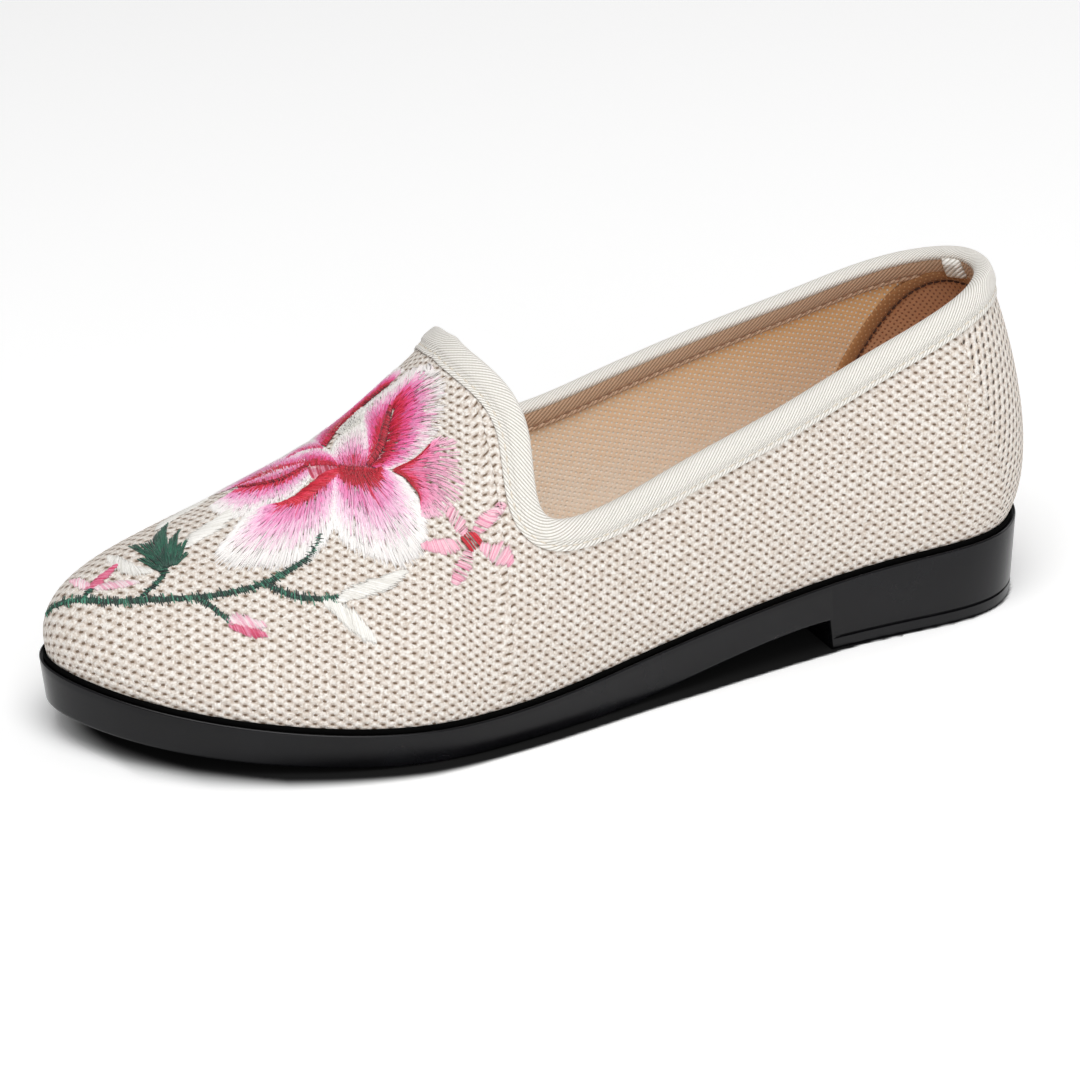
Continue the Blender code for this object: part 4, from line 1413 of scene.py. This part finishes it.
def spiky_leaf(root_a, root_b, tips, palette, lift):
    """A fan whose rim is a zigzag, drawn straight from tip to notch."""
    tips = np.asarray(tips, float)
    run = run_along(tips)
    rim = between(np.linspace(0, run[-1], 120), run, tips)
    root = np.linspace(root_a, root_b, 120)
    for number, (first, last) in enumerate(LEAF_BANDS[::-1]):
        count = int(60 + 64 * last)
        k = np.linspace(0, 119, count) + RANDOM.uniform(-0.6, 0.6, count)
        a, b = (between(k, np.arange(120), line) for line in (root, rim))
        start = np.maximum(first + RANDOM.uniform(-0.06, 0.06, count), 0)[:, None]
        end = np.minimum(last + RANDOM.uniform(-0.06, 0.06, count), 1)[:, None]
        dye = dye_at((start + end)[:, 0] / 2, palette, 0.25)
        lay(a + (b - a) * start, a + (b - a) * end, FLOSS_WIDTH, lift + 0.06 * number, dye)


spiky_leaf((93.4, -8.4), (89.6, -9.2), LEAF_TIPS, LEAF, 0.4)
BUD_RED = [(0.0, "#D8466F"), (1.0, "#F09AB8")]
BUD_PALE = [(0.0, "#F4B9CC"), (1.0, "#FBEFF0")]
# path, widths, dyes, slant, gap and lift of each, in the order of sewing
LEAVES_AND_BUDS = [
    (
        [(85.4, -6.0), (80.8, -4.4), (75.4, -2.6), (70.6, 0.4)],
        [1.0, 5.5, 5.0, 1.0], WHITES, 1.1, 0.2, 0.32,
    ),
    (
        [(94.4, -7.2), (97, -4.6), (98.8, -1), (99.7, 4.4)],
        [1.0, 3.6, 3.4, 0.8], WHITES, 1.1, 0.28, 0.3,
    ),
    ([(88, 6), (84, 9), (79, 11.5), (74, 12.5)], [1.0, 4.4, 4.4, 0.8], WHITES, 1.1, 0.28, 0.3),
    (
        [(66, -38.6), (60.1, -39.9), (54.8, -41.1), (48.8, -42)],
        [1.6, 4.6, 4.6, 1.6], WHITES, 1.3, 0.2, 0.4,
    ),
    (
        [(68.6, -36.8), (67, -41), (65.6, -45.4), (64.2, -51)],
        [1.8, 5.0, 4.8, 1.4], WHITES, 1.3, 0.2, 0.35,
    ),
    (
        [(88.4, -27.4), (86.5, -29), (84.6, -31), (82.4, -33)],
        [1.6, 3.8, 3.6, 1.6], BUD_PALE, 0.9, 0.28, 0.4,
    ),
    (
        [(88.9, -28.6), (87.2, -30.8), (85.4, -33), (83.6, -35)],
        [1.0, 2.4, 2.8, 1.2], BUD_RED, 0.9, 0.28, 0.45,
    ),
    (
        [(106.2, -2.4), (104.3, -2.2), (102, -1.6), (99.4, -0.8)],
        [2.6, 2.4, 2.2, 1.0], BUD_RED, 0.9, 0.28, 0.45,
    ),
    (
        [(106, -2.0), (106.5, -0.4), (107.1, 1.6), (108, 4.2)],
        [1.4, 2.4, 2.2, 0.8], BUD_PALE, 0.9, 0.28, 0.4,
    ),
    (
        [(105.4, -3.2), (103.3, -4.6), (100.9, -6.1), (98.2, -7.8)],
        [1.4, 2.4, 2.2, 0.8], BUD_PALE, 0.9, 0.28, 0.4,
    ),
]
for line in LEAVES_AND_BUDS:
    satin(*line)

# %% The small five-petalled flower
SMALL_PINK = [(0.0, "#E98FAE"), (0.5, "#F5C0CF"), (1.0, "#F9DCE2")]
SMALL_PETALS = [
    ([(30.6, -43.7), (30.3, -41.5), (30.6, -39.2), (31.2, -36.0)], [2.6, 5.2, 5.0, 2.2]),
    ([(27.7, -44.7), (24.9, -43.9), (21.9, -43.9), (19.2, -44.2)], [2.4, 4.4, 4.6, 2.0]),
    ([(33.1, -44.8), (36.0, -44.2), (39.0, -42.7), (42.2, -40.1)], [2.4, 4.2, 4.4, 1.8]),
    ([(28.5, -47.7), (27.4, -50.4), (26.8, -53.0), (26.7, -56.8)], [2.4, 4.2, 4.4, 1.8]),
    ([(32.1, -47.3), (34.4, -48.8), (37.6, -50.4), (41.4, -52.0)], [2.4, 4.4, 4.6, 2.0]),
]
for path, widths in SMALL_PETALS:
    satin(path, widths, SMALL_PINK, 0.3, gap=0.15, lift=0.35, ragged=0.1, scatter=0.1)
CENTRE = [(0.0, "#B01226"), (1.0, "#E42A40")]
satin(
    [(33.0, -45.8), (30.3, -45.7), (27.6, -45.6)],
    [3.6, 5.4, 5.4, 3.6], CENTRE, 0.1, gap=0.12, lift=0.9, ragged=0.05,
)

# %% Sew it all
stitch_mesh("peony_petals", PETAL_STITCHES)
stitch_mesh("peony_stems_and_buds", np.vstack(STITCHES))

# %% [markdown]
# # Small sewn parts
#
# Inside the heel lies a counter patch of ribbed reddish cloth, which keeps the foot from rubbing
# through the lining. Its edge is a folded welt of browner cloth that rises in an arch to the
# binding. Next to the back seam, a folded tab covers the join of the tape. All three follow the
# skin at a depth, so they cannot drift away from the lining under them.

# %% Line of the counter's edge
COUNTER_LIFT, RIB_PITCH, QUARTER_RISE = 0.35 * MM, 1.7 * MM, 60 * MM
COUNTER_POINTS = 241
# about how many millimetres one column and one share of the cloth are long
CLOTH_MM = (200.0, 60.0)
# column and share of the arch, from the back seam down the outer side
COUNTER_HALF = [(0, 0.882), (0.074, 0.893), (0.128, 0.839), (0.165, 0.746), (0.198, 0.629)]
COUNTER_HALF += [(0.214, 0.559), (0.232, 0.42), (0.248, 0.22), (0.258, 0.0)]


def counter_edge(count):
    """Turn and share of the arch from the inner base over the back to the outer base."""
    half = np.array(COUNTER_HALF)
    whole = np.vstack([half[:0:-1] * (-1, 1), half]) * CLOTH_MM
    line = smooth_line(whole, count) / CLOTH_MM
    return cloth_at(line[:, 0], line[:, 1].clip(0, 1)), line


def over_the_cup(count):
    """Turn and share of the arch where it stands clear of the sole."""
    turn, share = counter_edge(count)[0]
    return turn[share > 0.03], share[share > 0.03]


def build_counter():
    """The patch is the arch filled down to the sole, a step higher than the lining."""
    line = counter_edge(COUNTER_POINTS)[1]
    up = np.linspace(0, 1, 60)
    turn, share = cloth_at(line[:, :1] + 0 * up, line[:, 1:] * up)
    wall = skin(turn, share) - normal(turn, share) * (UPPER_WALL + COUNTER_LIFT)
    around = run_along(wall[:, 30])[:, None] + 0 * up
    uv = np.stack([around, 0 * around + line[:, 1:] * up * QUARTER_RISE], axis=-1) / RIB_PITCH
    faces = quads(*wall.shape[:2])
    return make_piece("heel_counter", wall, faces, COUNTER, uv)


def strip_on_skin(turn, share, drops_mm, heights_mm):
    """Rows of a strip beside a line on the skin: walked sideways by drops, raised by heights."""
    place = skin(turn, share)
    out = normal(turn, share)
    away = -unit(np.cross(out, unit(np.gradient(place, axis=0))))
    rows = []
    for drop, height in zip(drops_mm, heights_mm):
        at = down_the_skin(turn, share, away, drop * MM)
        rows.append(skin(*at) + normal(*at) * height * MM)
    return np.array(rows)


def build_welt():
    """The fold beside the arch: drops to its outer side in mm, with heights under the skin."""
    turn, share = over_the_cup(COUNTER_POINTS)
    drops = [0.0, 0.05, 0.25, 0.7, 1.4, 2.1, 2.8, 3.2, 3.4, 3.5]
    heights = [-1.7, -2.2, -2.55, -2.8, -2.85, -2.85, -2.8, -2.6, -2.3, -1.9]
    rows = strip_on_skin(turn, share, drops, heights)
    around, wide = np.broadcast_arrays(run_along(rows[4]), np.array(drops)[:, None] * MM)
    uv = np.stack([around, wide], axis=-1) / RIB_PITCH
    faces = quads(*rows.shape[:2], flip=True)
    return make_piece("counter_welt", rows, faces, WELT_CLOTH, uv)


build_counter()
build_welt()


# %% Folded tab over the tape's join
def build_tab():
    """A small pillow on the tape's inner leg, 8 mm by 6 mm, 6 mm from the back seam."""
    near = np.arange(699, 714)
    share = np.linspace(-1, 1, len(near))
    rows = []
    for drop, v in zip(np.linspace(0.0, 5.8, len(near)), share):
        at = down_the_skin(EDGE_TURN[near], EDGE_SHARE[near], EDGE_AWAY[near], drop * MM)
        swell = (1 - share**6) * (1 - v**6)
        lift = (UPPER_WALL + 0.9 * MM + 1.9 * MM * swell)[:, None]
        rows.append(skin(*at) - normal(*at) * lift)
    rows = np.array(rows)
    uv = np.stack(np.meshgrid(share * 2, share * 2), axis=-1)
    faces = quads(len(near), len(near))
    return make_piece("tape_join_tab", rows, faces, TAPE_IVORY, uv)


build_tab()

# %% [markdown]
# # Machine stitches
#
# The seams are lockstitch, about 2.8 mm a stitch. On the surface only short runs of thread show,
# each one sinking at both ends. They are small six-sided beads along four lines: the binding's
# lower strip outside, the same strip inside, the fold of the counter's welt, and the seam down the
# outer side of the heel. Along the welt the dark brown beads nearly touch, so they are stitches and
# painted shade of the fold together.


# %% Thread
def sewing_thread(name, colour):
    """Spun polyester: a soft sheen and one colour, too thin to show more."""
    return start_material(name, Roughness=0.6, Sheen_Weight=0.1, Base_Color=linear(colour))[0]


THREAD_ECRU = sewing_thread("polyester_thread_ecru", "#E4DACB")
THREAD_TAN = sewing_thread("polyester_thread_tan", "#9C6F54")
# Dark brown, for the welt's stitches and the painted shade of its fold.
THREAD_BROWN_AND_FOLD_SHADE = sewing_thread("brown_thread_and_painted_fold_shade", "#4A2C1C")


def stitch_line(name, line, out, material, slot, pitch=2.8, length=2.0, radius=0.17):
    """Beads along a line of points. Each has five rings of six points about its own axis."""
    run = run_along(line) / MM
    count = int(run[-1] / pitch)
    share = np.array([0.0, 0.18, 0.5, 0.82, 1.0])
    at = (np.arange(count) * pitch + 0.3)[:, None] + share * length
    place, up = between(at, run, line), unit(between(at, run, out))
    side = unit(np.cross(up, place[:, -1:] - place[:, :1]))
    thick = radius * np.array([0.0, 0.8, 1.0, 0.8, 0.0])[:, None, None] * MM
    sink = (radius * np.array([-1.2, 0.4, 0.7, 0.4, -1.2]) * MM)[:, None]
    angle = np.radians(np.arange(0, 361, 60))[:, None]
    ring = side[:, :, None] * np.cos(angle) + up[:, :, None] * np.sin(angle)
    points = (place + up * sink)[:, :, None] + ring * thick
    rings, corners = len(share), len(angle)
    first = rings * corners * np.arange(count)[:, None, None]
    faces = (first + quads(rings, corners, flip=True)).reshape(-1, 4)
    return make_piece(name, points, faces, material)


def closed_line(drop_mm, height_mm):
    """A closed line round the opening, at a drop from its edge and a height over the skin."""
    at = down_the_skin(EDGE_TURN, EDGE_SHARE, EDGE_AWAY, drop_mm * MM)
    out = normal(*at)
    line = skin(*at) + out * height_mm * MM
    return np.vstack([line, line[:1]]), np.vstack([out, out[:1]]) * np.sign(height_mm)


# %% Sew the lines
stitch_line("binding_stitches_outer", *closed_line(4.95, 0.5), THREAD_ECRU, "twill_white")
stitch_line("binding_stitches_inner", *closed_line(4.85, -(1.8 + 0.75)), THREAD_TAN, "twill_white")
# Dark brown beads 1.95 mm long at a 2 mm pitch along the welt's fold: stitches, and painted shade
# of the fold.
welt_turn, welt_share = over_the_cup(400)
welt_fold = strip_on_skin(welt_turn, welt_share, [-0.25], [-(1.8 + 0.45)])[0]
welt_in = -normal(welt_turn, welt_share)
stitch_line("counter_welt_stitches_and_fold_shade", welt_fold, welt_in, THREAD_BROWN_AND_FOLD_SHADE, "knit_cream", 2.0, 1.95, 0.3)
HEEL_LINE = [(0.11, 0.916), (0.154, 0.793), (0.185, 0.645), (0.205, 0.485), (0.217, 0.304)]
HEEL_LINE += [(0.23, 0.06)]
heel_line = smooth_line(np.array(HEEL_LINE) * CLOTH_MM, 200) / CLOTH_MM
heel_turn, heel_share = cloth_column(1, heel_line[:, 0], heel_line[:, 1])
heel_out = normal(heel_turn, heel_share)
heel_place = skin(heel_turn, heel_share) + heel_out * 0.05 * MM
stitch_line(
    "heel_seam_stitches", heel_place, heel_out, THREAD_ECRU, "knit_cream", pitch=2.4, length=1.8
)

# %% [markdown]
# # Floor, light and camera
#
# The photograph is a high-key product picture: a white sweep, a big soft light from the upper
# front left, and a fill that leaves only a soft grey shadow at the sole. Under the sole and the
# arch the photographed shadow is nearly black up to a clear edge. Soft light alone cannot give
# that, so the paper itself is toned there. It belongs to the stage and not to the shoe. The camera
# is the one that was fitted to the photograph: a long lens from the toe's outer side, looking down
# by 24 degrees.


# %% Floor
# stations along the shoe, and the reach or the blur there in mm
SHADOW_REACH = [0, 0.2, 0.26, 0.4, 0.7, 0.83, 0.9, 0.95, 1], [
    -1.2, -0.6, 0.5, 2.2, 2.6, 0.5, -5, -12, -28
]
SHADOW_BLUR = [0, 0.3, 0.62, 0.83, 0.9, 0.95, 1], [0.9, 0.8, 1.4, 7, 13, 18, 22]
DARKEST = 0.012


def shadow_tone(places):
    """Tone of the paper: 1 in the open, near 0 under the sole. With d the distance outside the
    outline in mm, it rises from d = reach to d = reach + blur. Towards the toe's tip, where the
    sole leaves the floor, the blur widens and the shadow ends inside the outline. It reaches out
    on the outer side only, which the photograph shows."""
    line = OUTLINE[::4, :2] + MOVE[:2]
    off = places[:, None] - line[None]
    far = np.linalg.norm(off, axis=-1)
    near = far.argmin(axis=1)
    index = np.arange(len(places))
    inside = (off[index, near] * OUTLINE[::4, 5:7][near]).sum(axis=-1) < 0
    d = far[index, near] * np.where(inside, -1, 1) / MM
    station = (places[:, 0] - line[:, 0].min()) / SOLE_LENGTH
    reach = np.interp(station, *SHADOW_REACH)
    reach = np.where(places[:, 1] > 0, reach, np.minimum(reach, -1.0))
    blur = np.interp(station, *SHADOW_BLUR)
    return DARKEST + (1 - DARKEST) * smoothstep(0, 1, (d - reach) / blur)


def build_floor():
    """A fine grid round the shoe that carries the tone, and four wide strips about it."""
    wide_x = np.concatenate([[-4], np.linspace(-0.17, 0.17, 420), [4]])
    wide_y = np.concatenate([[-4], np.linspace(-0.08, 0.08, 240), [4]])
    places = np.stack(np.meshgrid(wide_x, wide_y, indexing="ij"), axis=-1).reshape(-1, 2)
    tone = np.ones(len(places))
    close = (np.abs(places) < 0.16).all(axis=1)
    tone[close] = shadow_tone(places[close])
    mesh = bpy.data.meshes.new("floor")
    points = np.column_stack([places, np.zeros(len(places))])
    mesh.from_pydata(points.tolist(), [], quads(len(wide_x), len(wide_y)).tolist())
    layer = mesh.color_attributes.new("tone", "FLOAT_COLOR", "POINT")
    grey = np.column_stack([tone, tone, tone, np.ones_like(tone)])
    layer.data.foreach_set("color", grey.ravel())
    floor = bpy.data.objects.new("floor", mesh)
    material, tree, shader = start_material(
        "white_paper_sweep", Roughness=0.95, Specular_IOR_Level=0.0, Emission_Strength=0.12
    )
    paper = add(tree, "Attribute", attribute_name="tone")
    tree.links.new(paper, shader.inputs["Base Color"])
    tree.links.new(paper, shader.inputs["Emission Color"])
    mesh.materials.append(material)
    bpy.context.scene.collection.objects.link(floor)


build_floor()


# %% Lights
def soft_light(name, place, size, watts, target=(0, 0, 0.03)):
    """A round area light at a place, of a width in metres, turned to the shoe."""
    data = bpy.data.lights.new(name, "AREA")
    data.shape, data.size, data.energy = "DISK", size, watts
    light = bpy.data.objects.new(name, data)
    light.location = place
    aim = Vector(target) - Vector(place)
    light.rotation_euler = aim.to_track_quat("-Z", "Y").to_euler()
    bpy.context.scene.collection.objects.link(light)


soft_light("key_light", (0.3, 0.6, 1.6), 1.3, 20.0)
soft_light("fill_light", (0.1, 1.7, 1.0), 1.3, 8.8)
soft_light("back_light", (-1.5, -0.6, 0.9), 0.8, 4.0)
world = bpy.data.worlds.new("studio")
world.use_nodes = True
world.node_tree.nodes["Background"].inputs["Color"].default_value = (1, 1, 1, 1)
world.node_tree.nodes["Background"].inputs["Strength"].default_value = 0.27
bpy.context.scene.world = world
bpy.context.scene.view_settings.view_transform = "Standard"


# %% Camera
CAMERA_DISTANCE, FOCAL_PIXELS, PICTURE_PIXELS = 1.24, 5240, 1080


def build_camera():
    """Turned 155 degrees round the shoe and 24 up, 1.24 m off, with the photograph's framing."""
    turn, lift = math.radians(155), math.radians(24)
    level = math.cos(lift)
    back = Vector((math.sin(turn) * level, -math.cos(turn) * level, math.sin(lift)))
    right = Vector((math.cos(turn), math.sin(turn), 0))
    up = back.cross(right)
    target = Vector((0.46, -3.07, 35.6)) * MM - up * 6.5 * MM
    data = bpy.data.cameras.new("camera")
    data.sensor_width, data.lens = 36, 36 * FOCAL_PIXELS / PICTURE_PIXELS
    data.clip_end = 20
    camera = bpy.data.objects.new("camera", data)
    camera.location = target + back * CAMERA_DISTANCE
    camera.rotation_euler = (-back).to_track_quat("-Z", "Y").to_euler()
    bpy.context.scene.collection.objects.link(camera)
    bpy.context.scene.camera = camera


build_camera()
